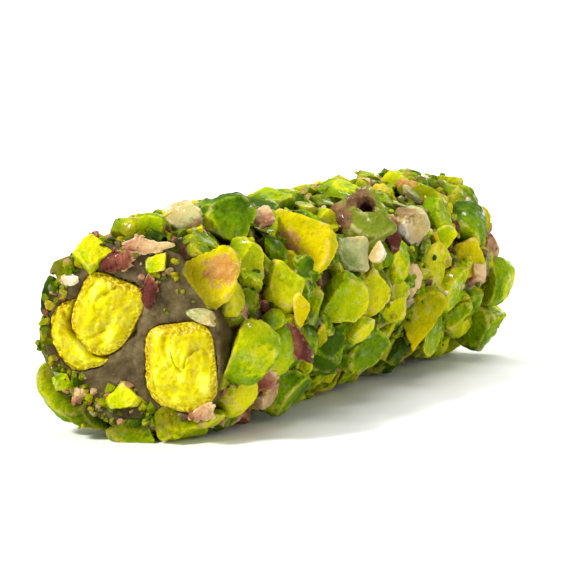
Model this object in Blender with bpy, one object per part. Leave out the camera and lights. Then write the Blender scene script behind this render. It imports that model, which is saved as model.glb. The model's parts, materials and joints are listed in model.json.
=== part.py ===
"""Pistachio Turkish delight roll, lying on its side.

A short log of grey-brown Turkish delight, cut at both ends. Each cut face shows three pistachio kernels,
and the side is coated with chopped pistachio. The roll lies along Y with its better cut face toward -Y,
and it rests on z = 0. Units are metres and +Z is up.

Sizes are written in millimetres times MM, and rows of pieces in plain millimetres and degrees. "along" is
a place on the roll's axis, and "around" an angle about it: 0 is the +X side and 90 degrees is the top.
"""
import math
import random

import bmesh
import bpy
from mathutils import Euler, Matrix, Vector

MM = 0.001
GAP = 0.3 * MM              # kept between one solid and the next
GOLDEN_ANGLE = math.pi * (3 - math.sqrt(5))

# The Turkish delight under the coat
ROLL_LENGTH = 80 * MM
CORE_RADIUS = 11.0 * MM
AXIS_HEIGHT = 12.7 * MM
SAG = 0.6 * MM              # the front end hangs toward its lower right by this much
SAG_AROUND = math.radians(-50)
EDGE_ROUND = 0.5 * MM       # between the side and a cut face
CORE_SEGMENTS = 24
CORE_RINGS = 2
FRONT_TURN = math.radians(10)   # the front face looks a little toward +X
BACK_TURN = math.radians(4)

# Kernels in the cut faces: end, then across, up, width, height and depth in mm, lean in degrees, how much
# narrower the lower half is, and the seed of the outline
KERNELS = {
    "kernel_front_left": (-1, (-3.0, 1.8, 7.5, 9.2, 9.5), -26, 0.24, 38),
    "kernel_front_right": (-1, (6.2, -3.9, 8.5, 10.2, 10.0), 3, 0.17, 10),
    "kernel_front_edge": (-1, (-6.2, -0.6, 6.6, 8.2, 8.0), 15, 0.02, 6),
    "kernel_back_left": (1, (-4.9, -2.6, 8.0, 9.4, 9.0), 12, 0.1, 11),
    "kernel_back_right": (1, (4.8, -2.6, 8.2, 9.6, 10.0), -16, 0.0, 14),
    "kernel_back_top": (1, (-0.2, 5.7, 8.8, 6.4, 9.0), 4, 0.0, 17),
}
KERNEL_CROWN = 0.9 * MM     # how far a cut kernel swells out of the face
KERNEL_CREASE = 0.35 * MM   # depth of the fold in it
POCKET_REACH = 3.6 * MM     # how far a kernel's pocket is cleared in front of the face
KERNEL_SEGMENTS = 16
KERNEL_FACE_RINGS = 4
KERNEL_TAIL_RINGS = 3
KERNEL_SQUARENESS = 3       # 2 is an ellipse, and more comes nearer to a rectangle
KERNEL_WAVES = ((3, 0.04), (5, 0.03))   # waves round the outline and their share of its reach
TAIL_START = 0.7            # the first ring of the tail, as a share of the step between rings
TAIL_BULGE = 2.5            # higher makes the tail fuller
FOLD_WIDTH = 0.2            # of the kernel's half width
FOLD_WANDER = 0.25          # how far the fold wanders to the sides, in the same share

# Chopped pistachio: half sizes of an uncut bit, number of cuts, and how near its centre they pass
SHAPES = {
    "nugget": ((1.00, 0.82, 0.70), 5, (0.50, 0.78)),
    "lobe": ((1.00, 0.74, 0.62), 2, (0.45, 0.70)),
    "shard": ((1.00, 0.66, 0.42), 4, (0.35, 0.75)),
    "flake": ((1.00, 0.72, 0.22), 4, (0.45, 0.80)),
}
SHAPE_SEEDS = 6             # different pieces of each shape
FINE = (2, 0.30)            # sphere subdivisions and corner weld of a large piece, before it is sized
COARSE = (1, 0.58)          # the same for a piece of the coat
SUNK = 1.2 * MM             # how deep a piece is pressed into the side
FLOOR_PRESS = 0.35 * MM     # how much of the lowest pieces is flattened on the floor
FACE_PROUD = 0.15           # a face piece's centre stands this share of its height out of the face

# Large pieces, each a solid of its own: along, around, length, width, height, turn, lean to the front
LARGE_PIECES = {
    "piece_rim_lobe": (-38.6, 219, 8.2, 6.4, 5.2, 80, 15, "lobe", 4),
    "piece_dark_block": (-25.5, 69, 9.0, 7.0, 5.0, 25, 20, "nugget", 1),
    "piece_gold_half": (-37.8, 36, 7.6, 6.4, 4.2, 210, 45, "shard", 0),
    "piece_green_kidney": (-34.2, -10, 8.2, 7.6, 5.0, 5, 24, "lobe", 3),
    "piece_yellow_shard": (-15.0, 40, 8.8, 7.6, 4.2, 60, 35, "shard", 1),
    "piece_olive_knob": (0.5, 43, 8.6, 8.4, 6.0, 20, 30, "nugget", 3),
    "piece_green_shard": (-11.5, 6, 7.8, 6.6, 4.6, 0, 25, "shard", 2),
    "piece_green_nugget": (-3.0, -27, 8.4, 7.2, 5.0, 30, 20, "nugget", 4),
}

# Smaller pieces of the coat that the eye picks out, joined to the roll
PLACED_PIECES = (
    (-37.6, 94, 5.6, 4.6, 3.4, 60, 15, "nugget", 0),
    (-36.8, 85, 5.4, 4.4, 3.6, 10, 10, "nugget", 5),
    (-32.0, 77, 6.0, 5.0, 4.2, 75, 25, "nugget", 2),
    (-18.5, 64, 6.4, 5.4, 3.4, 30, 10, "shard", 3),
    (-29.0, 40, 6.0, 5.0, 3.6, 70, 30, "nugget", 1),
    (-35.6, 21, 5.6, 4.8, 3.8, 60, 12, "shard", 0),
    (-26.2, -14, 6.8, 4.6, 4.2, 85, 20, "lobe", 4),
    (-22.2, -3, 6.4, 3.8, 3.0, 80, 30, "flake", 0),
    (-24.5, 19, 6.4, 5.4, 4.2, 70, 30, "nugget", 3),
    (-29.0, -33, 5.6, 4.6, 2.2, 60, 40, "flake", 1),
    (-32.4, -39, 5.8, 4.8, 3.8, 50, 20, "shard", 4),
    (-36.8, -67, 7.8, 6.2, 4.2, 10, 15, "nugget", 4),
    (-21.0, -44, 8.6, 7.0, 4.8, 80, 20, "nugget", 0),
    (-5.5, 27, 6.8, 5.4, 3.6, 5, 20, "nugget", 3),
    (-2.0, 4, 6.4, 5.2, 4.0, 85, 25, "nugget", 2),
    (5.0, 18, 6.0, 5.0, 4.0, 80, 30, "shard", 5),
    (9.8, 4, 4.8, 4.0, 3.0, 60, 30, "nugget", 0),
    (14.2, 37, 5.8, 5.2, 4.4, 35, 20, "nugget", 1),
    (17.0, 10, 6.4, 4.8, 3.4, 75, 35, "shard", 2),
    (13.5, -18, 9.0, 5.4, 4.2, 70, 30, "shard", 3),
    (-14.0, -25, 8.2, 6.2, 4.2, 80, 20, "nugget", 5),
    (28.0, 8, 6.8, 5.8, 4.0, 60, 25, "nugget", 2),
    (31.0, 29, 8.6, 6.6, 4.4, 20, 10, "lobe", 5),
    (-8.0, 84, 7.6, 6.2, 3.8, 15, 10, "nugget", 3),
    (8.6, 76, 8.0, 6.6, 3.8, 40, 10, "lobe", 3),
    (37.0, 52, 6.8, 5.6, 3.8, 30, 0, "nugget", 1),
    (-39.8, 186, 6.4, 4.8, 2.8, 80, 10, "shard", 3),
    (-39.6, 162, 6.2, 5.0, 2.9, 70, 10, "nugget", 2),
    (-38.6, 140, 6.2, 4.8, 2.2, 60, 5, "nugget", 0),
    (-38.8, -92, 6.8, 5.2, 3.4, 85, 0, "nugget", 3),
    (-39.8, -118, 6.2, 5.2, 3.2, 60, 0, "nugget", 1),
    (21.5, 82, 7.2, 6.0, 2.5, 30, 5, "nugget", 3),
    (27.5, 106, 7.0, 6.0, 2.2, 60, 5, "nugget", 2),
    (35.4, 116, 6.6, 5.6, 2.2, 10, 5, "nugget", 5),
    (36.8, -10, 7.6, 6.6, 4.8, 20, 0, "lobe", 3),
    (36.4, -38, 7.8, 6.6, 5.8, 60, 0, "nugget", 4),
    (35.4, -62, 7.6, 6.4, 5.2, 30, 0, "shard", 1),
    (37.2, 88, 6.2, 5.2, 2.0, 20, 0, "nugget", 5),
    (30.6, 93, 7.0, 6.0, 2.3, 40, 0, "nugget", 4),
    (15.7, 88, 7.2, 5.8, 2.5, 0, 5, "nugget", 1),
)

# Bits stuck to the cut faces: end, across, up, length, width, height, turn
FACE_PIECES = (
    (-1, -0.8, -7.5, 4.2, 3.2, 2.0, 20, "nugget", 4),
    (-1, 2.5, 5.0, 4.4, 2.4, 1.0, 84, "flake", 2),
    (-1, -7.2, 5.8, 2.4, 1.5, 1.4, 10, "nugget", 1),
    (-1, 8.8, -8.8, 3.8, 2.2, 1.4, 15, "flake", 3),
    (-1, 8.8, 2.3, 3.8, 1.8, 1.4, -15, "flake", 4),
    (-1, -0.9, 8.4, 5.2, 3.0, 2.2, 20, "flake", 2),
    (-1, 2.4, 10.0, 6.4, 2.4, 1.2, -6, "flake", 5),
    (-1, -4.6, 8.8, 4.6, 3.8, 2.6, 40, "nugget", 5),
    (-1, 3.6, 8.1, 3.2, 2.2, 1.6, 30, "nugget", 3),
    (-1, -6.2, -7.8, 2.6, 1.8, 1.4, 70, "flake", 1),
    (-1, -8.4, -6.2, 2.6, 2.0, 1.6, 30, "nugget", 0),
    (1, 0.4, -8.2, 3.6, 2.8, 2.0, 35, "nugget", 2),
    (1, 7.4, 6.2, 4.2, 2.8, 1.4, -40, "flake", 0),
    (1, -7.0, 5.6, 3.4, 2.6, 1.8, 60, "nugget", 5),
    (1, 0.2, 0.4, 2.4, 1.8, 1.4, 10, "nugget", 3),
)

# The rest of the coat, spread on a golden-angle lattice
COAT_COUNT = 200
COAT_MARGIN = 0.026         # bare share of the length at each end
COAT_SEED = 12
COAT_JITTER = 0.9           # along, in mm
COAT_WANDER = 4.0           # around, in degrees
COAT_CLEAR = 0.62           # share of two pieces' mean length kept free round a placed piece
COAT_KINDS = ("nugget", "shard", "lobe", "flake")
COAT_WEIGHTS = (62, 18, 8, 12)
COAT_LENGTHS = (5.2, 8.2)
COAT_WIDTHS = (0.70, 0.92)  # share of the length
COAT_HEIGHTS = {"nugget": (2.8, 4.2), "shard": (2.4, 3.6), "lobe": (2.8, 4.0), "flake": (1.2, 1.8)}
COAT_TILT = 25

# Stands the middle of the finished roll's box over the origin
CENTRE_SHIFT = Vector((-0.25, 0.62, 0)) * MM

# Colours (linear) and roughness
LOKUM = ((0.16, 0.12, 0.07), 0.45)
KERNEL_YELLOW = ((0.80, 0.68, 0.02), 0.50)
PIECE_FINISHES = {
    "piece_rim_lobe": ((0.30, 0.50, 0.02), 0.45),
    "piece_dark_block": ((0.11, 0.26, 0.01), 0.50),
    "piece_gold_half": ((0.72, 0.45, 0.05), 0.50),
    "piece_green_kidney": ((0.30, 0.52, 0.02), 0.45),
    "piece_yellow_shard": ((0.76, 0.65, 0.02), 0.50),
    "piece_olive_knob": ((0.26, 0.30, 0.05), 0.55),
    "piece_green_shard": ((0.20, 0.42, 0.01), 0.50),
    "piece_green_nugget": ((0.18, 0.36, 0.01), 0.50),
}


def clear_scene():
    for item in list(bpy.data.objects):
        bpy.data.objects.remove(item)


def finish(name, colour, roughness):
    """Principled material; nothing on the roll is metal."""
    made = bpy.data.materials.new(name)
    made.use_nodes = True
    shader = made.node_tree.nodes["Principled BSDF"]
    shader.inputs["Base Color"].default_value = (*colour, 1)
    shader.inputs["Roughness"].default_value = roughness
    shader.inputs["Metallic"].default_value = 0
    return made


def add_object(name, shape, material=None, collection=None):
    """Turn a bmesh into a linked object with its faces pointing out."""
    bmesh.ops.recalc_face_normals(shape, faces=shape.faces)
    mesh = bpy.data.meshes.new(name)
    shape.to_mesh(mesh)
    shape.free()
    if material:
        mesh.materials.append(material)
    made = bpy.data.objects.new(name, mesh)
    (collection or bpy.context.scene.collection).objects.link(made)
    return made


def add_collection(name):
    made = bpy.data.collections.new(name)
    bpy.context.scene.collection.children.link(made)
    return made


def face_frame(end):
    """Frame on a cut face: X across, Y up, Z out of the roll. end is -1 for the front and 1 for the back."""
    turn = FRONT_TURN if end < 0 else BACK_TURN
    out = Vector((math.sin(turn), end * math.cos(turn), 0))
    up = Vector((0, 0, 1))
    frame = Matrix((up.cross(out), up, out)).transposed().to_4x4()
    frame.translation = Vector((0, end * ROLL_LENGTH / 2, AXIS_HEIGHT))
    return frame


def core_radius(along, around):
    """Side of the Turkish delight: nearly round, with shallow waves and a sag at the front end."""
    front_share = 0.5 - along / ROLL_LENGTH
    sag = SAG * front_share * math.cos(around - SAG_AROUND)
    waves = 0.3 * MM * math.sin(2 * around + 60 * along) + 0.2 * MM * math.sin(3 * around - 110 * along)
    return CORE_RADIUS + sag + waves


def place_along(share, around, inset=0.0):
    """Place along the roll, from share 0 at the front face to 1 at the back face, which are both turned."""
    sideways = CORE_RADIUS * math.cos(around)
    front = -ROLL_LENGTH / 2 + sideways * math.tan(FRONT_TURN) + inset
    back = ROLL_LENGTH / 2 - sideways * math.tan(BACK_TURN) - inset
    return front + (back - front) * share


def core_shape():
    """The Turkish delight: rings from one cut face to the other, with rounded rims."""
    shape = bmesh.new()
    rings = []
    for ring in range(CORE_RINGS + 1):
        row = []
        for segment in range(CORE_SEGMENTS):
            around = math.tau * segment / CORE_SEGMENTS
            along = place_along(ring / CORE_RINGS, around, EDGE_ROUND)
            radius = core_radius(along, around)
            place = (radius * math.cos(around), along, AXIS_HEIGHT + radius * math.sin(around))
            row.append(shape.verts.new(place))
        rings.append(row)
    for near, far in zip(rings, rings[1:]):
        for segment in range(CORE_SEGMENTS):
            following = (segment + 1) % CORE_SEGMENTS
            shape.faces.new((near[segment], near[following], far[following], far[segment]))
    for rim, end in ((rings[0], -1), (rings[-1], 1)):
        cap = shape.faces.new(rim)
        bmesh.ops.inset_region(shape, faces=[cap], thickness=EDGE_ROUND)
        frame = face_frame(end)
        for vert in cap.verts:
            flat = frame.inverted() @ vert.co
            flat.z = 0
            vert.co = frame @ flat
    return shape


def spread_direction(index, count):
    """One of count directions spread evenly over a sphere."""
    height = 1 - 2 * (index + 0.5) / count
    flat = math.sqrt(1 - height * height)
    return Vector((flat * math.cos(index * GOLDEN_ANGLE), flat * math.sin(index * GOLDEN_ANGLE), height))


def chopped_piece(kind, seed, detail):
    """A rounded bit with flat cuts, as a closed convex shape in a box of 1 x 1 x 1 about its centre."""
    half_sizes, cuts, nearness = SHAPES[kind]
    subdivisions, weld = detail
    draw = random.Random(f"{kind} {seed}")
    pose = Euler([draw.uniform(0, math.tau) for axis in range(3)]).to_matrix()
    ball = bmesh.new()
    bmesh.ops.create_icosphere(ball, subdivisions=subdivisions, radius=1)
    bmesh.ops.rotate(ball, verts=ball.verts, cent=(0, 0, 0), matrix=pose)
    for index in range(cuts):
        direction = pose @ spread_direction(index, cuts)
        everything = ball.verts[:] + ball.edges[:] + ball.faces[:]
        bmesh.ops.bisect_plane(ball, geom=everything, plane_co=direction * draw.uniform(*nearness),
                               plane_no=direction, clear_outer=True)
        bmesh.ops.edgeloop_fill(ball, edges=[edge for edge in ball.edges if edge.is_boundary])
    bmesh.ops.remove_doubles(ball, verts=ball.verts, dist=weld)
    corners = [Vector([vert.co[axis] * half_sizes[axis] for axis in range(3)]) for vert in ball.verts]
    ball.free()
    low = [min(corner[axis] for corner in corners) for axis in range(3)]
    high = [max(corner[axis] for corner in corners) for axis in range(3)]
    shape = bmesh.new()
    for corner in corners:
        shape.verts.new([(corner[axis] - low[axis]) / (high[axis] - low[axis]) - 0.5 for axis in range(3)])
    hull = bmesh.ops.convex_hull(shape, input=shape.verts)
    bmesh.ops.delete(shape, geom=list(set(hull["geom_interior"])), context="VERTS")
    return shape


def pressed_into_side(shape, size, along, around, turn, lean, sway=0.0):
    """Size and turn a piece, then press it into the side, and up where the floor flattens it.

    Before it leans, its X runs along the roll, turned by turn, and its Z points out.
    """
    out = Vector((math.cos(around), 0, math.sin(around)))
    forward = Vector((0, 1, 0))
    sideways = out.cross(forward)
    pose = Matrix.Rotation(-lean, 3, sideways) @ Matrix.Rotation(sway, 3, forward)
    pose = pose @ Matrix((forward, sideways, out)).transposed() @ Matrix.Rotation(turn, 3, "Z")
    for vert in shape.verts:
        vert.co = pose @ Vector([vert.co[axis] * size[axis] for axis in range(3)])
    underside = min(vert.co.dot(out) for vert in shape.verts)
    place = out * (core_radius(along, around) - SUNK - underside) + Vector((0, along, AXIS_HEIGHT))
    bottom = place.z + min(vert.co.z for vert in shape.verts)
    place.z += max(0, -FLOOR_PRESS - bottom)
    bmesh.ops.translate(shape, verts=shape.verts, vec=place)
    return shape


def side_piece(row, detail):
    """Shape of one row of LARGE_PIECES, PLACED_PIECES or coat_rows()."""
    along, around, length, width, height, turn, lean, kind, seed, *sway = row
    size = Vector((length, width, height)) * MM
    angles = [math.radians(value) for value in (around, turn, lean, *sway)]
    return pressed_into_side(chopped_piece(kind, seed, detail), size, along * MM, *angles)


def face_piece(row):
    """Shape of one row of FACE_PIECES, partly sunk in its cut face."""
    end, across, up, length, width, height, turn, kind, seed = row
    shape = chopped_piece(kind, seed, COARSE)
    spin = Matrix.Rotation(math.radians(turn), 3, "Z")
    frame = face_frame(end)
    centre = Vector((across, up, height * FACE_PROUD)) * MM
    for vert in shape.verts:
        sized = Vector((vert.co.x * length, vert.co.y * width, vert.co.z * height)) * MM
        vert.co = frame @ (spin @ sized + centre)
    return shape


def coat_distance(first, second):
    """Distance in mm over the coat between the places of two rows."""
    turn = math.radians((first[1] - second[1] + 180) % 360 - 180)
    return math.hypot(first[0] - second[0], turn * CORE_RADIUS / MM)


def coat_rows():
    """Rows like PLACED_PIECES, with a sway added, for the coat between the placed pieces."""
    placed = list(LARGE_PIECES.values()) + list(PLACED_PIECES)
    draw = random.Random(COAT_SEED)
    rows = []
    for index in range(COAT_COUNT):
        share = COAT_MARGIN + (1 - 2 * COAT_MARGIN) * (index + 0.5) / COAT_COUNT
        around = math.degrees(index * GOLDEN_ANGLE) % 360 + draw.uniform(-COAT_WANDER, COAT_WANDER)
        along = place_along(share, math.radians(around)) / MM + draw.uniform(-COAT_JITTER, COAT_JITTER)
        kind = draw.choices(COAT_KINDS, COAT_WEIGHTS)[0]
        length = draw.uniform(*COAT_LENGTHS)
        width = length * draw.uniform(*COAT_WIDTHS)
        height = draw.uniform(*COAT_HEIGHTS[kind])
        turn = draw.uniform(0, 360)
        lean, sway = draw.uniform(-COAT_TILT, COAT_TILT), draw.uniform(-COAT_TILT, COAT_TILT)
        row = (along, around, length, width, height, turn, lean, kind, draw.randrange(SHAPE_SEEDS), sway)
        if all(coat_distance(row, other) > COAT_CLEAR * (length + other[2]) / 2 for other in placed):
            rows.append(row)
    return rows


def kernel_shape(end, sizes, lean, narrowing, seed, clearance=0.0):
    """Cut kernel: a crowned face with a fold in it, and a rounded tail inside the roll.

    With a clearance it is the pocket that the kernel sits in, cleared in front of the face too.
    """
    across, up, width, height, depth = [value * MM for value in sizes]
    draw = random.Random(seed)
    phases = [draw.uniform(0, math.tau) for wave in range(3)]
    frame = face_frame(end)
    turned = Matrix.Rotation(math.radians(lean), 3, "Z")

    def place(angle, share, out):
        corners = abs(math.cos(angle)) ** KERNEL_SQUARENESS + abs(math.sin(angle)) ** KERNEL_SQUARENESS
        wavy = 1 + sum(swing * math.sin(count * angle + phase) for (count, swing), phase in zip(KERNEL_WAVES, phases))
        reach = corners ** (-1 / KERNEL_SQUARENESS) * wavy * share
        narrow = 1 + narrowing * math.sin(angle)
        flat = Vector(((width / 2 + clearance) * reach * narrow * math.cos(angle),
                       (height / 2 + clearance) * reach * math.sin(angle), 0))
        return frame @ (turned @ flat + Vector((across, up, out)))

    def crown(angle, share):
        if clearance:
            return POCKET_REACH
        x, y = share * math.cos(angle), share * math.sin(angle)
        fold = math.exp(-((x - FOLD_WANDER * math.sin(2.2 * y + phases[2])) / FOLD_WIDTH) ** 2)
        return KERNEL_CROWN * (1 - share ** 3) - KERNEL_CREASE * fold * (1 - share ** 2)

    shape = bmesh.new()
    angles = [math.tau * segment / KERNEL_SEGMENTS for segment in range(KERNEL_SEGMENTS)]
    rings = []
    for ring in range(1, KERNEL_FACE_RINGS + 1):
        share = ring / KERNEL_FACE_RINGS
        rings.append([shape.verts.new(place(angle, share, crown(angle, share))) for angle in angles])
    for ring in range(KERNEL_TAIL_RINGS):
        inward = (ring + TAIL_START) / KERNEL_TAIL_RINGS
        share = math.sqrt(1 - inward ** TAIL_BULGE)
        out = -(depth + clearance) * inward
        rings.append([shape.verts.new(place(angle, share, out)) for angle in angles])
    for inner, outer in zip(rings, rings[1:]):
        for segment in range(KERNEL_SEGMENTS):
            following = (segment + 1) % KERNEL_SEGMENTS
            shape.faces.new((inner[segment], inner[following], outer[following], outer[segment]))
    middle = shape.verts.new(place(0, 0, crown(0, 0)))
    tip = shape.verts.new(place(0, 0, -(depth + clearance)))
    for segment in range(KERNEL_SEGMENTS):
        following = (segment + 1) % KERNEL_SEGMENTS
        shape.faces.new((middle, rings[0][segment], rings[0][following]))
        shape.faces.new((tip, rings[-1][following], rings[-1][segment]))
    return shape


def swollen(shape, margin):
    """Push every face of a closed shape out by the margin."""
    bmesh.ops.recalc_face_normals(shape, faces=shape.faces)
    shape.normal_update()
    moves = [(vert, vert.normal * margin * vert.calc_shell_factor()) for vert in shape.verts]
    for vert, move in moves:
        vert.co += move
    return shape


def floor_block():
    """Everything below z = 0, to flatten the pieces that the roll rests on."""
    shape = bmesh.new()
    bmesh.ops.create_cube(shape, size=2 * ROLL_LENGTH)
    bmesh.ops.translate(shape, verts=shape.verts, vec=(0, 0, -ROLL_LENGTH))
    return shape


def combine(target, operation, collection):
    """Apply one Boolean of the target with a collection, and remove the collection and its objects."""
    modifier = target.modifiers.new(operation.title(), "BOOLEAN")
    modifier.operand_type = "COLLECTION"
    modifier.collection = collection
    modifier.operation = operation
    modifier.solver = "EXACT"
    evaluated = target.evaluated_get(bpy.context.evaluated_depsgraph_get())
    result = bpy.data.meshes.new_from_object(evaluated)
    target.modifiers.clear()
    target.data = result
    for item in list(collection.objects):
        bpy.data.objects.remove(item)
    bpy.data.collections.remove(collection)


def keep_longest_shell(target):
    """Drop loose scraps, and the walls of sealed hollows, which fills them."""
    shape = bmesh.new()
    shape.from_mesh(target.data)
    unseen = set(shape.verts)
    shells = []
    while unseen:
        shell, edge = [], [unseen.pop()]
        while edge:
            vert = edge.pop()
            shell.append(vert)
            near = {link.other_vert(vert) for link in vert.link_edges} & unseen
            unseen -= near
            edge.extend(near)
        shells.append(shell)
    shells.sort(key=lambda shell: max(vert.co.y for vert in shell) - min(vert.co.y for vert in shell))
    extra = [vert for shell in shells[:-1] for vert in shell]
    bmesh.ops.delete(shape, geom=extra, context="VERTS")
    bmesh.ops.triangulate(shape, faces=shape.faces)
    shape.to_mesh(target.data)
    shape.free()


def build_roll():
    """The Turkish delight with every small piece joined on, and pockets for kernels and large pieces."""
    roll = add_object("lokum_roll", core_shape(), finish("lokum", *LOKUM))
    coat = add_collection("coat")
    for row in (*PLACED_PIECES, *coat_rows()):
        add_object("coat_piece", side_piece(row, COARSE), collection=coat)
    for row in FACE_PIECES:
        add_object("face_piece", face_piece(row), collection=coat)
    combine(roll, "UNION", coat)

    pockets = add_collection("pockets")
    add_object("floor", floor_block(), collection=pockets)
    for row in KERNELS.values():
        add_object("pocket", kernel_shape(*row, clearance=GAP), collection=pockets)
    for row in LARGE_PIECES.values():
        add_object("pocket", swollen(side_piece(row, FINE), GAP), collection=pockets)
    combine(roll, "DIFFERENCE", pockets)
    keep_longest_shell(roll)
    return roll


def build_kernels():
    """Six cut kernels. The one at the front face's edge is partly hidden behind its left neighbour."""
    material = finish("kernel", *KERNEL_YELLOW)
    kernels = {name: add_object(name, kernel_shape(*row), material) for name, row in KERNELS.items()}
    neighbour = add_collection("neighbour")
    add_object("pocket", kernel_shape(*KERNELS["kernel_front_left"], clearance=GAP), collection=neighbour)
    combine(kernels["kernel_front_edge"], "DIFFERENCE", neighbour)
    keep_longest_shell(kernels["kernel_front_edge"])
    return list(kernels.values())


def build_large_pieces():
    return [add_object(name, side_piece(row, FINE), finish(name, *PIECE_FINISHES[name]))
            for name, row in LARGE_PIECES.items()]


def main():
    clear_scene()
    for item in (build_roll(), *build_kernels(), *build_large_pieces()):
        item.data.transform(Matrix.Translation(CENTRE_SHIFT))
        print(item.name, len(item.data.polygons), "faces")


main()
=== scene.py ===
# %% [markdown]
# # A pistachio Turkish delight roll
# A log of soft, grey-brown Turkish delight has whole pistachio kernels inside and is rolled in coarsely
# chopped pistachio. It is cut to length, and the knife goes through some of the kernels too. The plain
# solids of the roll are already made. They have the right size and place but no finish, so they are loaded
# as a fixed frame, and each one is replaced by a finer piece of the same form in the same place.

# %% Load the solids
import json
import math
import random
from collections import namedtuple

import bpy
import numpy as np
from mathutils import Euler, Matrix, Vector, noise

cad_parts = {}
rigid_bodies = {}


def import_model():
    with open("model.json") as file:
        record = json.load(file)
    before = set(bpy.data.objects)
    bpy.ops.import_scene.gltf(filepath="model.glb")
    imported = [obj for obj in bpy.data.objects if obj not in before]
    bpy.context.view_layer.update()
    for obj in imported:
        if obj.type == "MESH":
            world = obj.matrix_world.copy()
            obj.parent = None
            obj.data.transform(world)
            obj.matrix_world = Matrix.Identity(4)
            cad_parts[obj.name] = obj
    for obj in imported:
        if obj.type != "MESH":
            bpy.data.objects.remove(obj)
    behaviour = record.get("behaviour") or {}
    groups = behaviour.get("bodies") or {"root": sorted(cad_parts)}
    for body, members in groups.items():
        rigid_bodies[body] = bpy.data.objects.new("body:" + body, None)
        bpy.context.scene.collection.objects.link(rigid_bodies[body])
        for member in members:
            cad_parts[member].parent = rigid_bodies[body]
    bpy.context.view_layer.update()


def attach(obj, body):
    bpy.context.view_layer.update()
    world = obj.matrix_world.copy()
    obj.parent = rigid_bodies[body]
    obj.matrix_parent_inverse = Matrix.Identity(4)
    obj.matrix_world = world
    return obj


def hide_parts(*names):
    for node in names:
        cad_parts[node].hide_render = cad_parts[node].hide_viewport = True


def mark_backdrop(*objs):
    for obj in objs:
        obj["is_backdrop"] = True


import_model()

MM = 0.001


# %% [markdown]
# ## The camera
# The roll is seen from a little above its own height and from the right of its cut face. The distance
# matters as much as the angle: it sets how much smaller the far end looks. A long lens from a third of a
# metre away gives the same narrowing as the photograph, so that is chosen, and the roll fills most of the
# frame.

# %% Place the camera
VIEW_AZIMUTH = math.radians(27.3)    # to the right of the cut face
VIEW_ELEVATION = math.radians(7.6)
VIEW_DISTANCE = 0.350
VIEW_HEIGHT = 12.8 * MM              # of the place that the camera looks at
SENSOR = 36                          # mm
LENS = 171                           # mm
NEAREST_SHOWN = 0.01
AXIS_HEIGHT = 12.7 * MM              # of the roll's axis over the floor
CENTRE_SHIFT = Vector((-0.25, 0.62, 0)) * MM   # the solids were moved this far, to stand over the origin

toward_camera = Vector((math.sin(VIEW_AZIMUTH) * math.cos(VIEW_ELEVATION),
                        -math.cos(VIEW_AZIMUTH) * math.cos(VIEW_ELEVATION),
                        math.sin(VIEW_ELEVATION)))
view_target = Vector((0, 0, VIEW_HEIGHT)) + CENTRE_SHIFT
lens = bpy.data.cameras.new("camera")
lens.sensor_width = SENSOR
lens.lens = LENS
lens.clip_start = NEAREST_SHOWN
camera = bpy.data.objects.new("camera", lens)
bpy.context.scene.collection.objects.link(camera)
camera.location = view_target + toward_camera * VIEW_DISTANCE
camera.rotation_euler = toward_camera.to_track_quat("Z", "Y").to_euler()
bpy.context.scene.camera = camera
print("camera at", [round(value, 3) for value in camera.location])

# %% [markdown]
# ## Working as by hand
# Each piece starts as a primitive and is shaped with the operators that a person would use. An operator
# works on everything that is selected, so a helper first clears the selection. Another adds a modifier,
# sets it and applies it at once, which leaves a plain mesh. A third selects edges or faces by their place,
# in edit mode.

# %% Helpers for modelling
def start_clean():
    """Deselect everything, so that an operator only touches the next piece."""
    for item in bpy.context.view_layer.objects:
        item.select_set(False)
    bpy.context.view_layer.objects.active = None


def added(name):
    """Name the primitive that was just added and return it."""
    piece = bpy.context.object
    piece.name = piece.data.name = name
    return piece


def make_active(piece):
    start_clean()
    piece.select_set(True)
    bpy.context.view_layer.objects.active = piece


def apply_modifier(piece, kind, **settings):
    modifier = piece.modifiers.new(kind.title(), kind)
    for setting, value in settings.items():
        setattr(modifier, setting, value)
    make_active(piece)
    bpy.ops.object.modifier_apply(modifier=modifier.name)


def select_only(piece, kind, wanted):
    """Go to edit mode with only the edges or faces selected that are wanted."""
    bpy.ops.object.mode_set(mode="EDIT")
    bpy.ops.mesh.select_mode(type=kind)
    bpy.ops.mesh.select_all(action="DESELECT")
    bpy.ops.object.mode_set(mode="OBJECT")
    for item in piece.data.edges if kind == "EDGE" else piece.data.polygons:
        item.select = wanted(item, [piece.data.vertices[index].co for index in item.vertices])
    bpy.ops.object.mode_set(mode="EDIT")


def triangles(piece):
    return sum(len(face.vertices) - 2 for face in piece.data.polygons)


print("helpers ready")

# %% [markdown]
# ## Shader maths
# A finish is a sum of patterns: colour from the kind of nut, a darker skin, paler broken edges, fine grain.
# Wiring dozens of nodes by hand hides that sum. Here a small class wraps a socket and gives it plus, minus
# and times, so that each finish can be read as arithmetic, and one method makes every other node.

# %% A recipe for a material
class Wire:
    """One output socket of a recipe."""

    def __init__(self, recipe, socket):
        self.recipe = recipe
        self.socket = socket

    def math(self, operation, first, second):
        return self.recipe.node("ShaderNodeMath", {"operation": operation}, {0: first, 1: second})

    def __add__(self, other):
        return self.math("ADD", self, other)

    def __radd__(self, other):
        return self.math("ADD", other, self)

    def __sub__(self, other):
        return self.math("SUBTRACT", self, other)

    def __rsub__(self, other):
        return self.math("SUBTRACT", other, self)

    def __mul__(self, other):
        return self.math("MULTIPLY", self, other)

    def __rmul__(self, other):
        return self.math("MULTIPLY", other, self)

    def between(self, low, high):
        """0 below low, 1 above high, and a smooth step in between."""
        settings = {"interpolation_type": "SMOOTHSTEP"}
        return self.recipe.node("ShaderNodeMapRange", settings, {0: self, 1: low, 2: high})


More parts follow.
